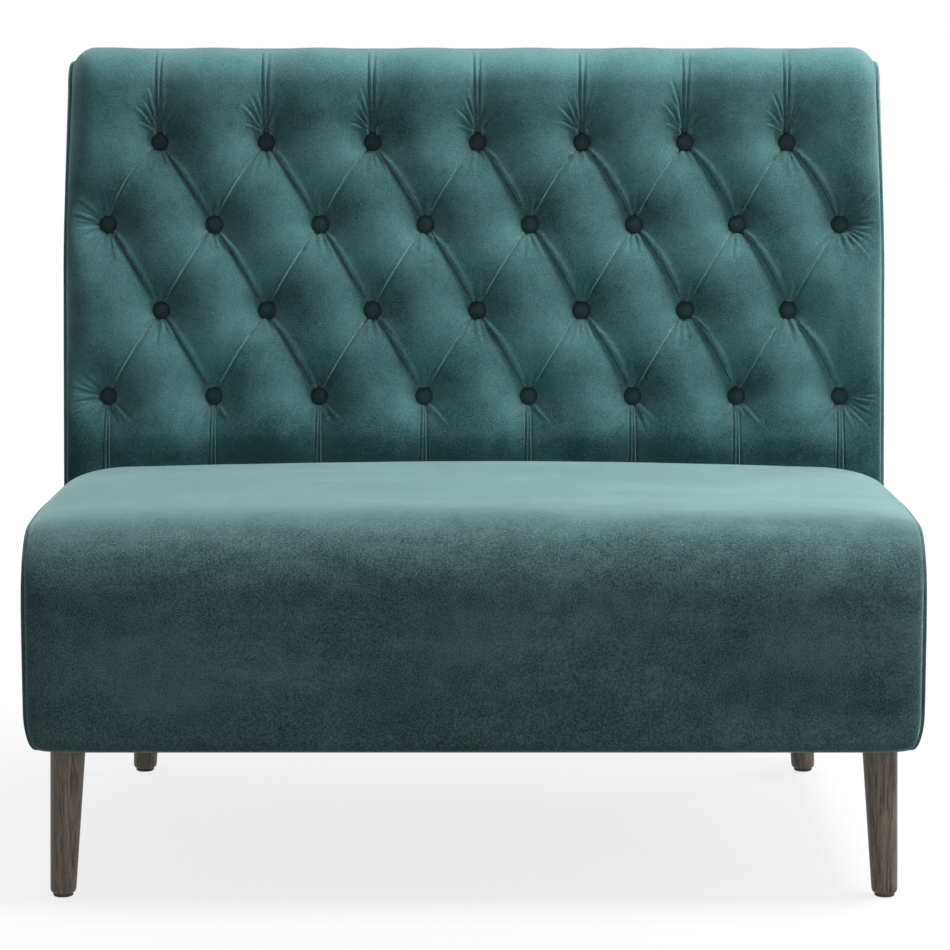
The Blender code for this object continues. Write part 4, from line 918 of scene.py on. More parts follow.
def turned_in(z, depth, height):
    """How far a surface has turned in at its foot, on a quarter of an ellipse."""
    share = np.clip(1 - (z - UNDERSIDE) / height, 0, 1)
    return depth * (1 - np.sqrt(1 - share ** 2))


def side_curl(z):
    return turned_in(z, *UNDER_ROUND_SIDE)


def dress_seat():
    rows = sorted(spaced(0, SEAT_END, SEAT_SPACING) + [SEAT_FOLD])
    bm = grid_mesh(spaced(-SEAM_SEAT, SEAM_SEAT, SEAT_SPACING), rows)
    close_behind(bm, SEAT_FOLD)
    mesh = mesh_of(bm, "seat_cushion")
    x, along, layer = coordinates(mesh).T
    sewn = np.clip((along - HEM) / UNDER_ARC, 0, 1)
    rise = seat_rise(x, along) - seam_dip(x, SEAM_SEAT, along, SEAT_END) * sewn
    uneven = np.clip((along - SEAT_FACE_START) / UNEVEN_FADE, 0, 1)
    uneven = uneven * np.clip((SEAM_SEAT - np.abs(x)) / UNEVEN_FADE, 0, 1)
    rise = rise + uneven * (undulation(x, along, SEAT_UNEVEN) - SEAT_UNEVEN)
    outer = laid_on(SEAT_SECTION, x, along, rise)
    under = laid_on(SEAT_SECTION, x, along, np.zeros_like(rise))
    under[:, 1] -= rise
    outer = np.where((along < SEAT_FACE_START)[:, None], under, outer)
    outer[:, 0] *= 1 - side_curl(outer[:, 2]) / SEAM_SEAT
    behind = INSIDE_BACK + (outer[:, 2] - SEAT_HEIGHT) * math.tan(LEAN) - GAP
    outer[:, 1] = np.minimum(outer[:, 1], behind)
    front = np.stack([outer[:, 0], np.full_like(x, RAIL_FACE), np.interp(
        along, [0, SEAT_FOLD], [UNDERSIDE + VELVET, FLOOR_OF_FOAM])], axis=1)
    rear_y = INSIDE_BACK + (FLOOR_OF_FOAM - SEAT_HEIGHT) * math.tan(LEAN) - GAP
    floor = np.stack([outer[:, 0], np.interp(along, [SEAT_FOLD, SEAT_END], [RAIL_FACE, rear_y]),
                      np.full_like(x, FLOOR_OF_FOAM)], axis=1)
    inner = np.where((along > SEAT_FOLD)[:, None], floor, front)
    set_coordinates(mesh, np.where((layer < -0.5)[:, None], inner, outer))
    # The seat's painted light, stored for its velvet.
    store(mesh, "nap", np.interp(along, SEAT_SHADING_STATIONS, SEAT_SHADING))
    mesh.set_sharp_from_angle(angle=SHARP_FOLD)
    mesh.materials.append(seat_velvet_painted_light)
    piece = new_piece("seat_cushion", mesh)
    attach(piece, "root")
    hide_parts("seat_cover", "seat_wadding", "seat_foam")
    return piece


seat_cushion = dress_seat()
print("seat:", len(seat_cushion.data.polygons), "faces")

# %% [markdown]
# ## Sewn panels
# The side panels, the boxing of the back and the two rear panels are single layers of velvet, sewn to
# the covers. Each is a grid laid between its edges, thickened inwards and turned in at its seams, which is
# what draws the thin dark line. The side panels also swell a little in their middles.

# %% Panels from a rule that gives each point's place
DIP_REACH, DIP_SHARE = 1.6, 0.7
HEM_FREE = 0.01
PANEL_UNEVEN = 0.0004


def panel(name, columns, rows, place, material):
    """place(first, second, depth) gives points for arrays; depth is how far inside the outer face."""
    bm = grid_mesh(columns, rows)
    bmesh.ops.solidify(bm, geom=bm.faces[:], thickness=VELVET)
    mesh = mesh_of(bm, name)
    first, second, layer = coordinates(mesh).T
    inside = np.abs(layer) > VELVET / 2
    set_coordinates(mesh, place(first, second, np.where(inside, VELVET, 0.0)))
    bm = bmesh.new()
    bm.from_mesh(mesh)
    bmesh.ops.recalc_face_normals(bm, faces=bm.faces[:])
    bm.to_mesh(mesh)
    bm.free()
    mesh.set_sharp_from_angle(angle=SHARP_EDGE)
    mesh.materials.append(material)
    piece = new_piece(name, mesh)
    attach(piece, "root")
    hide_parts(name)


def border_dip(first, second, width, height):
    """The turn into the seams all round a panel of that size. A free edge counts as HEM_FREE further out."""
    to_edge = np.minimum(np.minimum(first, width - first), np.minimum(second, height - second))
    share = np.clip(1 - to_edge / (DIP_REACH * SEAM_DIP), 0, 1)
    return SEAM_DIP * DIP_SHARE * (1 - np.sqrt(1 - share ** 2))


def seat_edge(share):
    """y and z of the seat's side seam, from the bottom front to the rear."""
    along = TURN_START + share * (SEAT_ARC + REAR_FACE - FRONT - FRONT_ROUND)
    seam = np.full_like(along, SEAM_SEAT)
    points = laid_on(SEAT_SECTION, seam, along, seat_rise(seam, along))
    return points[:, 1], points[:, 2]


def swell(first, second):
    return (1 - (2 * first - 1) ** 6) * (1 - (2 * second - 1) ** 4)


def shares(length, spacing):
    return [value / length for value in spaced(0, length, spacing)]


CORNER_TURN = 0.012
LENGTH_SPACING, HEIGHT_SPACING = 0.008, 0.006
BACK_SIDE_SPACING, REAR_SPACING = 0.007, 0.009


def seat_side(name, sign):
    length, height = REAR_FACE - FRONT, SEAT_HEIGHT - UNDERSIDE

    def place(first, second, depth):
        y, z = seat_edge(first)
        level = UNDERSIDE + second * (z - UNDERSIDE)
        y = y + turned_in(level, UNDER_ROUND_FRONT, UNDER_ROUND_FRONT) * np.exp(-first * length / CORNER_TURN)
        out = SEAM_SEAT + GAP + VELVET + SIDE_BULGE * swell(first, second) - depth
        out -= border_dip(first * length, second * height + HEM_FREE, length, height + HEM_FREE)
        out -= side_curl(level)
        out += undulation(y, level, PANEL_UNEVEN) * swell(first, second)
        return np.stack([sign * out, y, level], axis=1)

    panel(name, shares(length, LENGTH_SPACING), shares(height, HEIGHT_SPACING), place, seat_velvet_painted_light)


TOP_TURN_DEPTH, TOP_TURN_RUN = 0.0026, 0.012
BACK_PANEL_DEPTH = 0.24


def back_side(name, sign):
    """Its front and top edges follow the cover's seam, and its cloth gets thinner where the top turns in."""
    low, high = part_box(name)
    foot = (low.z - SEAT_HEIGHT) / math.cos(LEAN)
    length = TOP_AT - foot

    def place(first, second, depth):
        along = foot + first * length
        seam = np.full_like(along, SEAM_BACK)
        edge = laid_on(BACK_SECTION, seam, along, -back_edge_drop(seam, along))
        behind = second * (REAR_FACE - edge[:, 1])
        y = edge[:, 1] + behind
        z = np.maximum(edge[:, 2], low.z) - first ** 2 * top_fall(TOP_AT + second * (BACK_END - TOP_AT))
        z -= first ** 6 * TOP_SLACK + first ** 40 * (1 - TOP_DIP_LOST) * SEAM_DIP
        turn = np.clip(1 - (TOP_AT - along) / TOP_TURN_RUN, 0, 1)
        cloth = VELVET - TOP_TURN_DEPTH * (1 - np.sqrt(1 - turn ** 2))
        full = (1 - (2 * first - 1) ** 10) * (1 - (2 * second - 1) ** 4)
        out = SEAM_BACK + GAP + (1 - depth / VELVET) * cloth + SIDE_BULGE * full
        out -= border_dip(first * length, second * BACK_PANEL_DEPTH, length + HEM_FREE, BACK_PANEL_DEPTH)
        out -= pulled_in(along, behind)
        out += undulation(y, along, PANEL_UNEVEN) * full
        return np.stack([sign * out, y, z], axis=1)

    panel(name, shares(length, BACK_SIDE_SPACING), shares(BACK_PANEL_DEPTH, BACK_SIDE_SPACING), place,
          back_velvet)


def rear_panel(name, material, top_at, narrower_at):
    """A panel across the rear; top_at(x) is its upper edge, narrower_at(z) how far its sides turn in."""
    low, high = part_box(name)
    width, height = 2 * high.x, high.z - low.z

    def place(first, second, depth):
        across = 2 * first - 1
        z = low.z + second * (top_at(across * high.x) - low.z)
        out = REAR - depth - border_dip(first * width, second * height, width, height)
        return np.stack([across * (high.x - narrower_at(z)), out, z], axis=1)

    panel(name, shares(width, REAR_SPACING), shares(height, REAR_SPACING), place, material)


def back_top_edge(x):
    """The outside back ends under the fall of the top and its rolled corners."""
    drop = back_edge_drop(np.minimum(np.abs(x), SEAM_BACK), np.full_like(x, BACK_END))
    return TOP - TOP_FALL - TOP_SLACK - drop


def seat_top_edge(x):
    return np.full_like(x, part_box("seat_rear_panel")[1].z)


for side, sign in (("left", -1), ("right", 1)):
    seat_side("seat_side_panel_" + side, sign)
    back_side("back_side_panel_" + side, sign)
rear_panel("outside_back_panel", back_velvet,
           back_top_edge, np.zeros_like)
rear_panel("seat_rear_panel", seat_velvet_painted_light, seat_top_edge, side_curl)
print("six sewn panels")

# %% [markdown]
# ## Covered buttons
# Each button is a domed shell with velvet drawn over it and its twine behind. One is turned, and a tree
# sets a copy at each place of a row, facing out of the leaning back.

# %% Turn one button and set the copies
BUTTON_PROFILE = ((0, 0.0064), (0.0032, 0.0062), (0.0065, 0.0054), (0.0092, 0.0041), (0.0111, 0.0025),
                  (0.0122, 0.0009), (0.0125, -0.0004), (0.0118, -0.0018), (0.0096, -0.0026),
                  (0.0016, -0.0028), (0.0014, -0.050))
BUTTON_SIDES, GLIDE_SIDES, LEG_SIDES = 36, 48, 72


def turned(name, profile, sides):
    """A turned mesh round Z from (radius, height) points, from its top on the axis down."""
    bm = bmesh.new()
    corners = [bm.verts.new((radius, 0, height)) for radius, height in profile]
    edges = [bm.edges.new(pair) for pair in zip(corners, corners[1:])]
    bmesh.ops.spin(bm, geom=corners + edges, cent=(0, 0, 0), axis=(0, 0, 1), angle=math.tau, steps=sides,
                   use_merge=True)
    bmesh.ops.remove_doubles(bm, verts=bm.verts[:], dist=SAME_POINT)
    bmesh.ops.holes_fill(bm, edges=[edge for edge in bm.edges if edge.is_boundary])
    bmesh.ops.recalc_face_normals(bm, faces=bm.faces[:])
    mesh = mesh_of(bm, name)
    mesh.set_sharp_from_angle(angle=SHARP_EDGE)
    return mesh


def copies_tree():
    group, source, target = new_modifier_tree("copies facing out", [
        ("Piece", "Object", None), ("Lean", "Float", 0.0), ("Cover", "Material", None)])
    tree = Tree(group)
    piece = tree.node("GeometryNodeObjectInfo", {"Object": source.outputs["Piece"]}, output="Geometry")
    tilt = tree.math("ADD", math.pi / 2, source.outputs["Lean"])
    turn = tree.node("ShaderNodeCombineXYZ", [tilt, 0.0, 0.0])
    rotation = tree.node("FunctionNodeEulerToRotation", [turn])
    points = tree.node("GeometryNodeMeshToPoints", {0: source.outputs[0]})
    copies = tree.node("GeometryNodeInstanceOnPoints", {
        "Points": points, "Instance": piece, "Rotation": rotation})
    tree.close(copies, source.outputs["Cover"], target)
    return group


BUTTON_SEAT = -0.0216
LACING_DEPTH, LACING_SLACK, LACING_STEP = 0.0735, 0.005, 0.125
TWINE_RADIUS = 0.0014
twine = velvet("waxed twine", (0.30, 0.22, 0.12), (0.55, 0.45, 0.30), sheen=0.0)


def lacing(row):
    """The twine that ties a row together behind the board, slack between its buttons, as a mesh tube."""
    places = [BUTTONS[row, number] for number in range(ROWS[row])]
    stations = np.arange(0, ROWS[row] - 1 + LACING_STEP / 2, LACING_STEP)
    x = np.interp(stations, range(ROWS[row]), [place[0] for place in places])
    slack = LACING_SLACK * np.sin(math.pi * (stations % 1)) ** 2
    points = laid_on(BACK_SECTION, x, places[0][1] - slack, np.full_like(x, -LACING_DEPTH))
    curve = bpy.data.curves.new("lacing", "CURVE")
    curve.dimensions = "3D"
    curve.bevel_depth = TWINE_RADIUS
    curve.bevel_resolution = 1
    curve.use_fill_caps = True
    spline = curve.splines.new("POLY")
    spline.points.add(len(points) - 1)
    spline.points.foreach_set("co", np.column_stack([points, np.ones(len(points))]).ravel())
    mesh = as_mesh(new_piece("lacing_source", curve))
    mesh.polygons.foreach_set("material_index", [1] * len(mesh.polygons))
    return mesh


def dress_buttons():
    """A row's buttons have the first of its two materials, and its lacing has the second."""
    button = new_piece("button_source", turned("button", BUTTON_PROFILE, BUTTON_SIDES))
    group = copies_tree()
    for row, count in enumerate(ROWS):
        places = np.array([BUTTONS[row, number] for number in range(count)])
        points = laid_on(BACK_SECTION, places[:, 0], places[:, 1], np.full(count, BUTTON_SEAT))
        mesh = bpy.data.meshes.new("places")
        mesh.from_pydata([tuple(point) for point in points], [], [])
        shaped = run_tree(f"covered_buttons_{row + 1}", mesh, group,
                          {"Piece": button, "Lean": -LEAN, "Cover": button_velvet})
        shaped.materials.append(twine)
        joined = bmesh.new()
        joined.from_mesh(shaped)
        joined.from_mesh(lacing(row))
        joined.to_mesh(shaped)
        joined.free()
        piece = new_piece(shaped.name, shaped)
        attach(piece, "root")
        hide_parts(f"button_row_{row + 1}")
    bpy.data.objects.remove(button, do_unlink=True)


dress_buttons()
print("buttons in", len(ROWS), "rows")

# %% [markdown]
# ## Legs
# Turned and tapered beech, stained dark and matt lacquered, each on a disc of felt. The grain runs down
# the leg, so the wood's pattern is stretched along Z. The felt's mottled finish serves other pieces later.

# %% Stained wood and felt
STREAKS, PORES = (190.0, 190.0, 9.0), (430.0, 430.0, 16.0)


def wood(title, dark, light):
    material, tree, shader = new_finish(title)
    streaks = tree.noise(tree.stretched(STREAKS), 1.6, 6.0, 0.65, 0.5)
    pores = tree.noise(tree.stretched(PORES), 1.0, 3.0, 0.6)
    tone = tree.math("MULTIPLY", tree.spread(streaks, 0.46, 0.54), 0.50)
    tone = tree.math("MULTIPLY_ADD", tree.spread(pores, 0.46, 0.54), 0.50, tone)
    tree.fill(shader, {"Base Color": tree.mix(tone, dark, light), "Normal": tree.bump(0.25, 0.0006, pores),
                       "Roughness": tree.spread(tone, 0.0, 1.0, 0.42, 0.60)})
    return material


def plain_finish(title, dark, light, scale, roughness, metallic=0.0, pattern="ShaderNodeTexNoise",
                 stretch=(1, 1, 1)):
    """A mottled finish: two tones, a range of roughness and a fine bump from one pattern."""
    material, tree, shader = new_finish(title)
    place = tree.stretched(stretch)
    spots = tree.node(pattern, {0: place, "Scale": scale})
    fine = tree.noise(place, 5 * scale, 3.0)
    tone = tree.math("MULTIPLY_ADD", spots, 0.7, tree.math("MULTIPLY", tree.spread(fine, 0.3, 0.7), 0.3))
    tree.fill(shader, {"Base Color": tree.mix(tone, dark, light), "Normal": tree.bump(0.3, 0.0004, fine),
                       "Roughness": tree.spread(tone, 0.0, 1.0, *roughness), "Metallic": metallic})
    return material


leg_wood = wood("stained beech", (0.003, 0.002, 0.0015), (0.250, 0.200, 0.152))
felt = plain_finish("brown felt", (0.100, 0.082, 0.066), (0.210, 0.172, 0.140), 700.0, (0.85, 0.95))
print("finishes for the legs and their glides")

# %% Turn the legs and their glides
FOOT_RADIUS, TOP_RADIUS = 0.0155, 0.021
FOOT_ROUND = ((0.0050, 0), (0.0028, 0.0006), (0.0010, 0.0022), (0, 0.0052))
FOOT_OUT = 0.0022
SPLAY = math.radians(2.8)
GLIDE_ROUND = 0.0009


def dress_glide(name, x, y):
    """A soft felt disc under the middle of the foot."""
    low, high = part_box("glide_" + name)
    radius, soft = (high.x - low.x) / 2, GLIDE_ROUND
    profile = [(0, high.z), (radius - soft, high.z), (radius, high.z - soft), (radius, low.z + soft),
               (radius - soft, low.z), (0, low.z)]
    mesh = turned("felt_glide_" + name, profile, GLIDE_SIDES)
    set_coordinates(mesh, coordinates(mesh) + (x, y, 0))
    mesh.materials.append(felt)
    piece = new_piece("felt_glide_" + name, mesh)
    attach(piece, "root")
    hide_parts("glide_" + name)


def dress_leg(name):
    """A finely turned copy of the tapered, splayed leg with a softly rounded foot."""
    low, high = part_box("leg_" + name)
    sign = 1 if high.x > 0 else -1
    height, middle_y = high.z - low.z, (low.y + high.y) / 2
    foot_x = sign * (max(high.x, -low.x) - FOOT_RADIUS + FOOT_OUT)
    start = FOOT_ROUND[-1][1]
    profile = [(0, 0), *((FOOT_RADIUS - inside, up) for inside, up in FOOT_ROUND)]
    profile += [(FOOT_RADIUS + (TOP_RADIUS - FOOT_RADIUS) * share, start + (height - start) * share)
                for share in np.linspace(0.05, 1, 20)]
    mesh = turned("leg_" + name, [(0, height), *reversed(profile)], LEG_SIDES)
    points = coordinates(mesh)
    points[:, 0] += foot_x - sign * math.tan(SPLAY) * points[:, 2]
    points[:, 1] += middle_y
    points[:, 2] += low.z
    set_coordinates(mesh, points)
    mesh.materials.append(leg_wood)
    piece = new_piece("turned_leg_" + name, mesh)
    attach(piece, "root")
    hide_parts("leg_" + name)
    dress_glide(name, foot_x, middle_y)


for name in ("front_left", "front_right", "rear_left", "rear_right"):
    dress_leg(name)
print("four legs with their glides")

# %% [markdown]
# ## What lies under the velvet
# A stranger may open the part up, so the frame gets its own finishes: planed beech with its grain along
# each rail, plywood with its plies showing at the edges, wire that is dark from its heat treatment, and
# zinc with faint crystals. Each is assigned to the slots of the nodes, whose shapes stay as they are.

# %% Finishes for the frame's nodes
def woven(title, dark, light, threads):
    """Crossing threads, as on hessian and dust cloth; threads is how many there are to a metre."""
    material, tree, shader = new_finish(title)
    place = tree.node("ShaderNodeTexCoord", output=3)
    bands = {0: place, "Scale": threads / math.tau, "Distortion": 1.2, "Detail": 2.0}
    waves = [tree.node("ShaderNodeTexWave", bands, output=1, bands_direction=way) for way in "XY"]
    slubs = tree.math("MULTIPLY", tree.noise(place, threads / 6, 3.0), 0.4)
    cloth = tree.math("MULTIPLY_ADD", tree.math("MAXIMUM", *waves), 0.7, slubs)
    tree.fill(shader, {"Base Color": tree.mix(cloth, dark, light), "Roughness": 0.9,
                       "Normal": tree.bump(0.6, 0.0006, cloth)})
    return material


BEECH = ((0.33, 0.20, 0.12), (0.56, 0.40, 0.26), 9.0, (0.5, 0.65))
beech = plain_finish("planed beech", *BEECH, stretch=(0.6, 6.0, 6.0))
upright_beech = plain_finish("planed beech upright", *BEECH, stretch=(6.0, 6.0, 0.6))
plywood = plain_finish("birch plywood", (0.46, 0.31, 0.19), (0.70, 0.54, 0.37), 11.0, (0.5, 0.65),
                       stretch=(1.0, 9.0, 1.0))
spring_wire = plain_finish("tempered wire", (0.06, 0.065, 0.075), (0.16, 0.16, 0.17), 60.0, (0.3, 0.45), 1.0)
zinc = plain_finish("zinc plate", (0.50, 0.51, 0.52), (0.72, 0.73, 0.74), 180.0, (0.3, 0.5), 1.0,
                    pattern="ShaderNodeTexVoronoi")
fibre = plain_finish("polyester wadding", (0.72, 0.72, 0.70), (0.90, 0.90, 0.88), 160.0, (0.85, 0.95))
hessian = woven("hessian", (0.16, 0.11, 0.06), (0.52, 0.41, 0.27), 500.0)
dust_cloth = woven("black dust cloth", (0.006, 0.006, 0.007), (0.035, 0.035, 0.037), 1300.0)
SLOT_FINISH = {"frame_timber": beech, "plywood": plywood, "spring_steel": spring_wire, "zinc_steel": zinc,
               "felt": felt}
UPRIGHT = ("back_stile", "corner_block", "leg_block")
for part in frame["record"]["subparts"]:
    finish = SLOT_FINISH.get(part["material_slot"])
    if finish is None:
        continue
    if part["node"].startswith(UPRIGHT):
        finish = upright_beech
    for slot in frame["nodes"][part["node"]].material_slots:
        slot.material = finish
print("finishes on the frame, the springs, the plates and the glides")

# %% [markdown]
# ## Side pads and the cloths under the seat
# A strip of wadding lies on each side rail and each cheek. It starts as its own node, remeshed so that its
# corners can soften, smoothed, and pressed in where the velvet is drawn tight. Below the springs a black
# dust cloth is stapled to the rails, and above them hessian keeps the foam off the wire. The dust cloth
# hangs a little in its middle, and neither cloth is quite even.

# %% Soft pads from their nodes
PAD_VOXEL = 0.004
RAIL_DENT, CHEEK_DENT = 0.0006, 0.0008
RAIL_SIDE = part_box("seat_rail_right")[1].x
CHEEK_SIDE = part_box("back_cheek_right")[1].x + GAP


def soft_pad(name, press):
    """press(points) moves an array of points to where the velvet holds them."""
    bm = bmesh.new()
    bm.from_mesh(frame["nodes"][name].data)
    bmesh.ops.remove_doubles(bm, verts=bm.verts[:], dist=SAME_POINT)
    holder = new_piece(name + "_source", mesh_of(bm, name))
    remesh = holder.modifiers.new("even", "REMESH")
    remesh.mode = "VOXEL"
    remesh.voxel_size = PAD_VOXEL
    smooth = holder.modifiers.new("soft corners", "SMOOTH")
    smooth.iterations = 6
    mesh = as_mesh(holder)
    set_coordinates(mesh, press(coordinates(mesh)))
    mesh.shade_smooth()
    mesh.materials.clear()
    mesh.materials.append(fibre)
    piece = new_piece(name + "_wadding", mesh)
    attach(piece, "root")
    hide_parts(name)
    return len(mesh.polygons)


def press_on_rail(points):
    """Under the curl of the seat's side panel."""
    x, y, z = points.T
    most = SEAM_SEAT - side_curl(z) - GAP
    dent = RAIL_DENT * (1 + np.sin(23 * y + 1.3) * np.sin(31 * z))
    x = np.sign(x) * np.maximum(np.minimum(np.abs(x), most) - dent, RAIL_SIDE + GAP)
    return np.stack([x, y, z], axis=1)


def press_on_cheek(points):
    """Inside the corners of the back, which draw in."""
    x, y, z = points.T
    along = (z - SEAT_HEIGHT) / math.cos(LEAN)
    behind = np.maximum(y - INSIDE_BACK - along * math.sin(LEAN), 0)
    share = np.clip((np.abs(x) - CHEEK_SIDE) / (SEAM_BACK - CHEEK_SIDE), 0, 1)
    inward = pulled_in(along, behind) + CHEEK_DENT * (1 + np.sin(19 * y + 0.4) * np.sin(17 * z + 1.0))
    return np.stack([x - np.sign(x) * share * inward, y, z], axis=1)


for side in ("left", "right"):
    soft_pad("seat_side_pad_" + side, press_on_rail)
    faces = soft_pad("back_side_pad_" + side, press_on_cheek)
print("four side pads; the last has", faces, "faces")

# %% The two cloths
CLOTH_SPACING = 0.012
CLOTH_THICKNESS = 0.0006
CLOTH_RIPPLE = 0.0003
NOTCH_CLEAR = 0.004
DUST_CLOTH_SAG = 0.0022


def lines_between(low, high, extra):
    """Even lines from low to high, and those extra ones that lie between them."""
    even = np.linspace(low, high, round((high - low) / CLOTH_SPACING) + 1)
    return sorted({*even, *(value for value in extra if low < value < high)})


def cloth_sheet(name, node, sag, material, holes=()):
    """A thin sheet in its node's outline, with notches round the boxes in holes."""
    low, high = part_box(node)
    cuts = [(first.x - NOTCH_CLEAR, second.x + NOTCH_CLEAR, first.y - NOTCH_CLEAR, second.y + NOTCH_CLEAR)
            for first, second in holes]

    def in_a_notch(place):
        return any(left < place.x < right and near < place.y < far for left, right, near, far in cuts)

    bm = grid_mesh(lines_between(low.x, high.x, [value for cut in cuts for value in cut[:2]]),
                   lines_between(low.y, high.y, [value for cut in cuts for value in cut[2:]]))
    inside = [face for face in bm.faces if in_a_notch(face.calc_center_median())]
    bmesh.ops.delete(bm, geom=inside, context="FACES")
    flat_area = sum(face.calc_area() for face in bm.faces)
    middle, half = (low + high) / 2, (high - low) / 2
    for vert in bm.verts:
        across, along = (vert.co.x - middle.x) / half.x, (vert.co.y - middle.y) / half.y
        vert.co.z = low.z - sag * (1 - across ** 2) * (1 - along ** 2)
        ripple = math.sin(41 * vert.co.x + 2.0) * math.sin(37 * vert.co.y)
        vert.co.z -= CLOTH_RIPPLE * ripple * (1 - along ** 2)
    bmesh.ops.solidify(bm, geom=bm.faces[:], thickness=-CLOTH_THICKNESS)
    bmesh.ops.recalc_face_normals(bm, faces=bm.faces[:])
    mesh = mesh_of(bm, name)
    mesh.set_sharp_from_angle(angle=SHARP_EDGE)
    mesh.materials.append(material)
    piece = new_piece(name, mesh)
    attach(piece, "root")
    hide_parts(node)


plates = [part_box(f"leg_plate_{end}_{side}") for end in ("front", "rear") for side in ("left", "right")]
cloth_sheet("dust_cloth", "dust_cover", DUST_CLOTH_SAG, dust_cloth, plates)
cloth_sheet("hessian_over_springs", "spring_cover_cloth", 0.0, hessian)
print("dust cloth and hessian")

# %% The staples of the lower cloth
STAPLE_INSET, STAPLE_DROP = 0.008, 0.0008
PLATE_CLEAR = 0.012
REAR_CLEAR = 2.4
FACES_EACH = 6


def staples_tree():
    """Set staples along a polyline, at a spacing, each a flat crown turned along the line."""
    group, source, target = new_modifier_tree("staples along an edge", [
        ("Spacing", "Float", 0.045), ("Crown", "Float", 0.0100), ("Wire", "Float", 0.0009),
        ("Steel", "Material", None)])
    tree = Tree(group)
    curve = tree.node("GeometryNodeMeshToCurve", {0: source.outputs[0]})
    points = group.nodes.new("GeometryNodeCurveToPoints")
    points.mode = "LENGTH"
    tree.fill(points, {"Curve": curve, "Length": source.outputs["Spacing"]})
    wire = source.outputs["Wire"]
    size = tree.node("ShaderNodeCombineXYZ", [wire, wire, source.outputs["Crown"]])
    crown = tree.node("GeometryNodeMeshCube", {"Size": size})
    copies = tree.node("GeometryNodeInstanceOnPoints", {
        "Points": points.outputs["Points"], "Instance": crown, "Rotation": points.outputs["Rotation"]})
    tree.close(copies, source.outputs["Steel"], target)
    return group


def dress_staples():
    """Along all four edges, clear of the leg plates. The rear run, between the rear legs, is shorter."""
    low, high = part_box("dust_cover")
    wide, near, far = high.x - STAPLE_INSET, low.y + STAPLE_INSET, high.y - STAPLE_INSET
    clear = plates[1][1].x - plates[1][0].x + PLATE_CLEAR
    rear = wide - REAR_CLEAR * clear
    ends = [(clear - wide, near), (wide - clear, near), (-wide, near + clear), (-wide, far),
            (wide, near + clear), (wide, far), (-rear, far), (rear, far)]
    mesh = bpy.data.meshes.new("edge")
    level = low.z - STAPLE_DROP
    mesh.from_pydata([(*end, level) for end in ends], [(0, 1), (2, 3), (4, 5), (6, 7)], [])
    shaped = run_tree("dust_cloth_staples", mesh, staples_tree(), {"Steel": zinc})
    piece = new_piece("dust_cloth_staples", shaped)
    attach(piece, "root")
    return len(piece.data.polygons) // FACES_EACH


print(dress_staples(), "staples")

# %% [markdown]
# ## Camera, floor and light
# The camera stands well back with a long lens, as for a catalogue, and looks down a little. Floor and
# backdrop are white to the camera, but throw little light on the object. The key light hangs above it on
# the right and a wide weaker one above its left. Two more fill in from the front and from the right, and a
# light behind each side draws its edge.

# %% Camera
EYE = (0.0013, -4.714, 1.247)
LOOKS_DOWN = 9.51

camera_data = bpy.data.cameras.new("camera")
camera_data.lens = 144.71
camera_data.sensor_width = 36
camera_data.clip_end = 50
camera = bpy.data.objects.new("camera", camera_data)
camera.location = EYE
camera.rotation_euler = (math.radians(90 - LOOKS_DOWN), 0, 0)
bpy.context.scene.collection.objects.link(camera)
bpy.context.scene.camera = camera
print("camera at", EYE, "looking down by", LOOKS_DOWN, "degrees")

# %% Floor and world
WHITE = (1, 1, 1, 1)
FLOOR_GREY = (0.12, 0.12, 0.12, 1)
WORLD_LIGHT = 0.10


def seen_by_camera(tree):
    """1 for rays of the camera, of gloss and of glass, and 0 for those that light the object."""
    path = tree.tree.nodes.new("ShaderNodeLightPath").outputs
    through = tree.math("MAXIMUM", path["Is Glossy Ray"], path["Is Transmission Ray"])
    return tree.math("MAXIMUM", path["Is Camera Ray"], through)


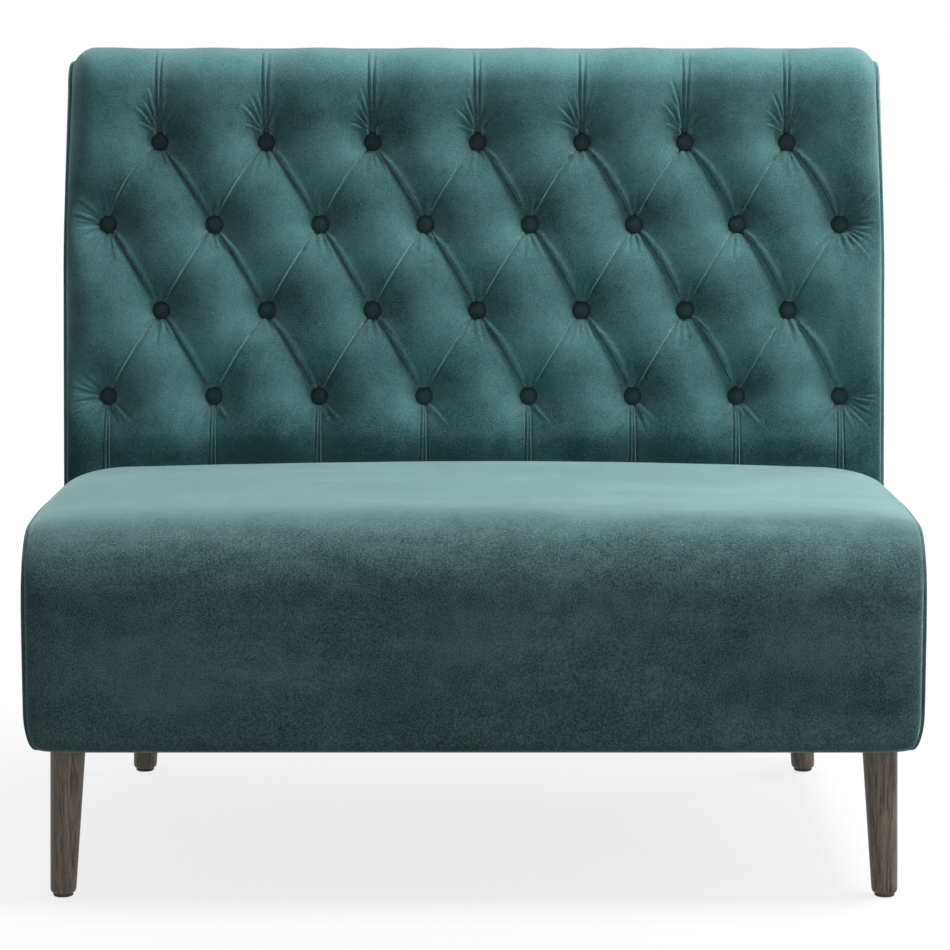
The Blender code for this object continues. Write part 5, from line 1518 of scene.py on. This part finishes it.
floor_bm = bmesh.new()
bmesh.ops.create_grid(floor_bm, x_segments=2, y_segments=2, size=9)
floor = new_piece("floor", mesh_of(floor_bm, "floor"))
paint, tree, shader = new_finish("pale floor")
tree.fill(shader, {"Base Color": FLOOR_GREY, "Roughness": 0.9})
from_middle = tree.node("ShaderNodeVectorMath", [tree.node("ShaderNodeTexCoord", output=3)], output=1,
                        operation="LENGTH")
strength = tree.spread(from_middle, 0.5, 2.6, 0.80, 1.0)
glow = tree.node("ShaderNodeEmission", {"Color": WHITE, "Strength": strength})
grey = shader.outputs[0]
white = tree.node("ShaderNodeAddShader", [grey, glow])
surface = tree.node("ShaderNodeMixShader", [seen_by_camera(tree), grey, white])
tree.fill(paint.node_tree.nodes["Material Output"], {"Surface": surface})
floor.data.materials.append(paint)

world = bpy.data.worlds.new("studio")
world.use_nodes = True
bpy.context.scene.world = world
tree = Tree(world.node_tree)
strength = tree.spread(seen_by_camera(tree), 0.0, 1.0, WORLD_LIGHT, 1.0)
tree.fill(world.node_tree.nodes["Background"], {"Color": WHITE, "Strength": strength})
print("floor and world, white to the camera")


# %% Lights
def area_light(name, place, aim, size, power):
    data = bpy.data.lights.new(name, "AREA")
    data.shape = "RECTANGLE"
    data.size, data.size_y = size
    data.energy = power
    lamp = bpy.data.objects.new(name, data)
    lamp.location = place
    lamp.rotation_euler = (Vector(aim) - Vector(place)).to_track_quat("-Z", "Y").to_euler()
    bpy.context.scene.collection.objects.link(lamp)


area_light("key light", (1.55, -0.20, 3.1), (0, 0.05, 0.6), (0.9, 0.9), 104)
area_light("top light", (-0.5, -0.2, 3.0), (0, 0, 0.5), (2.0, 1.2), 22)
area_light("low front fill", (0.1, -2.6, 0.25), (0, FRONT, 0.28), (2.0, 0.5), 8)
area_light("side fill", (2.8, -2.2, 1.3), (0, 0.1, 0.7), (1.0, 1.0), 18)
for side, power in ((-1, 5), (1, 22)):
    area_light("rim light", (side * 2.0, 1.3, 0.9), (side * 0.4, 0, 0.5), (0.8, 1.6), power)
bpy.context.scene.view_settings.view_transform = "Standard"
print("six lights")
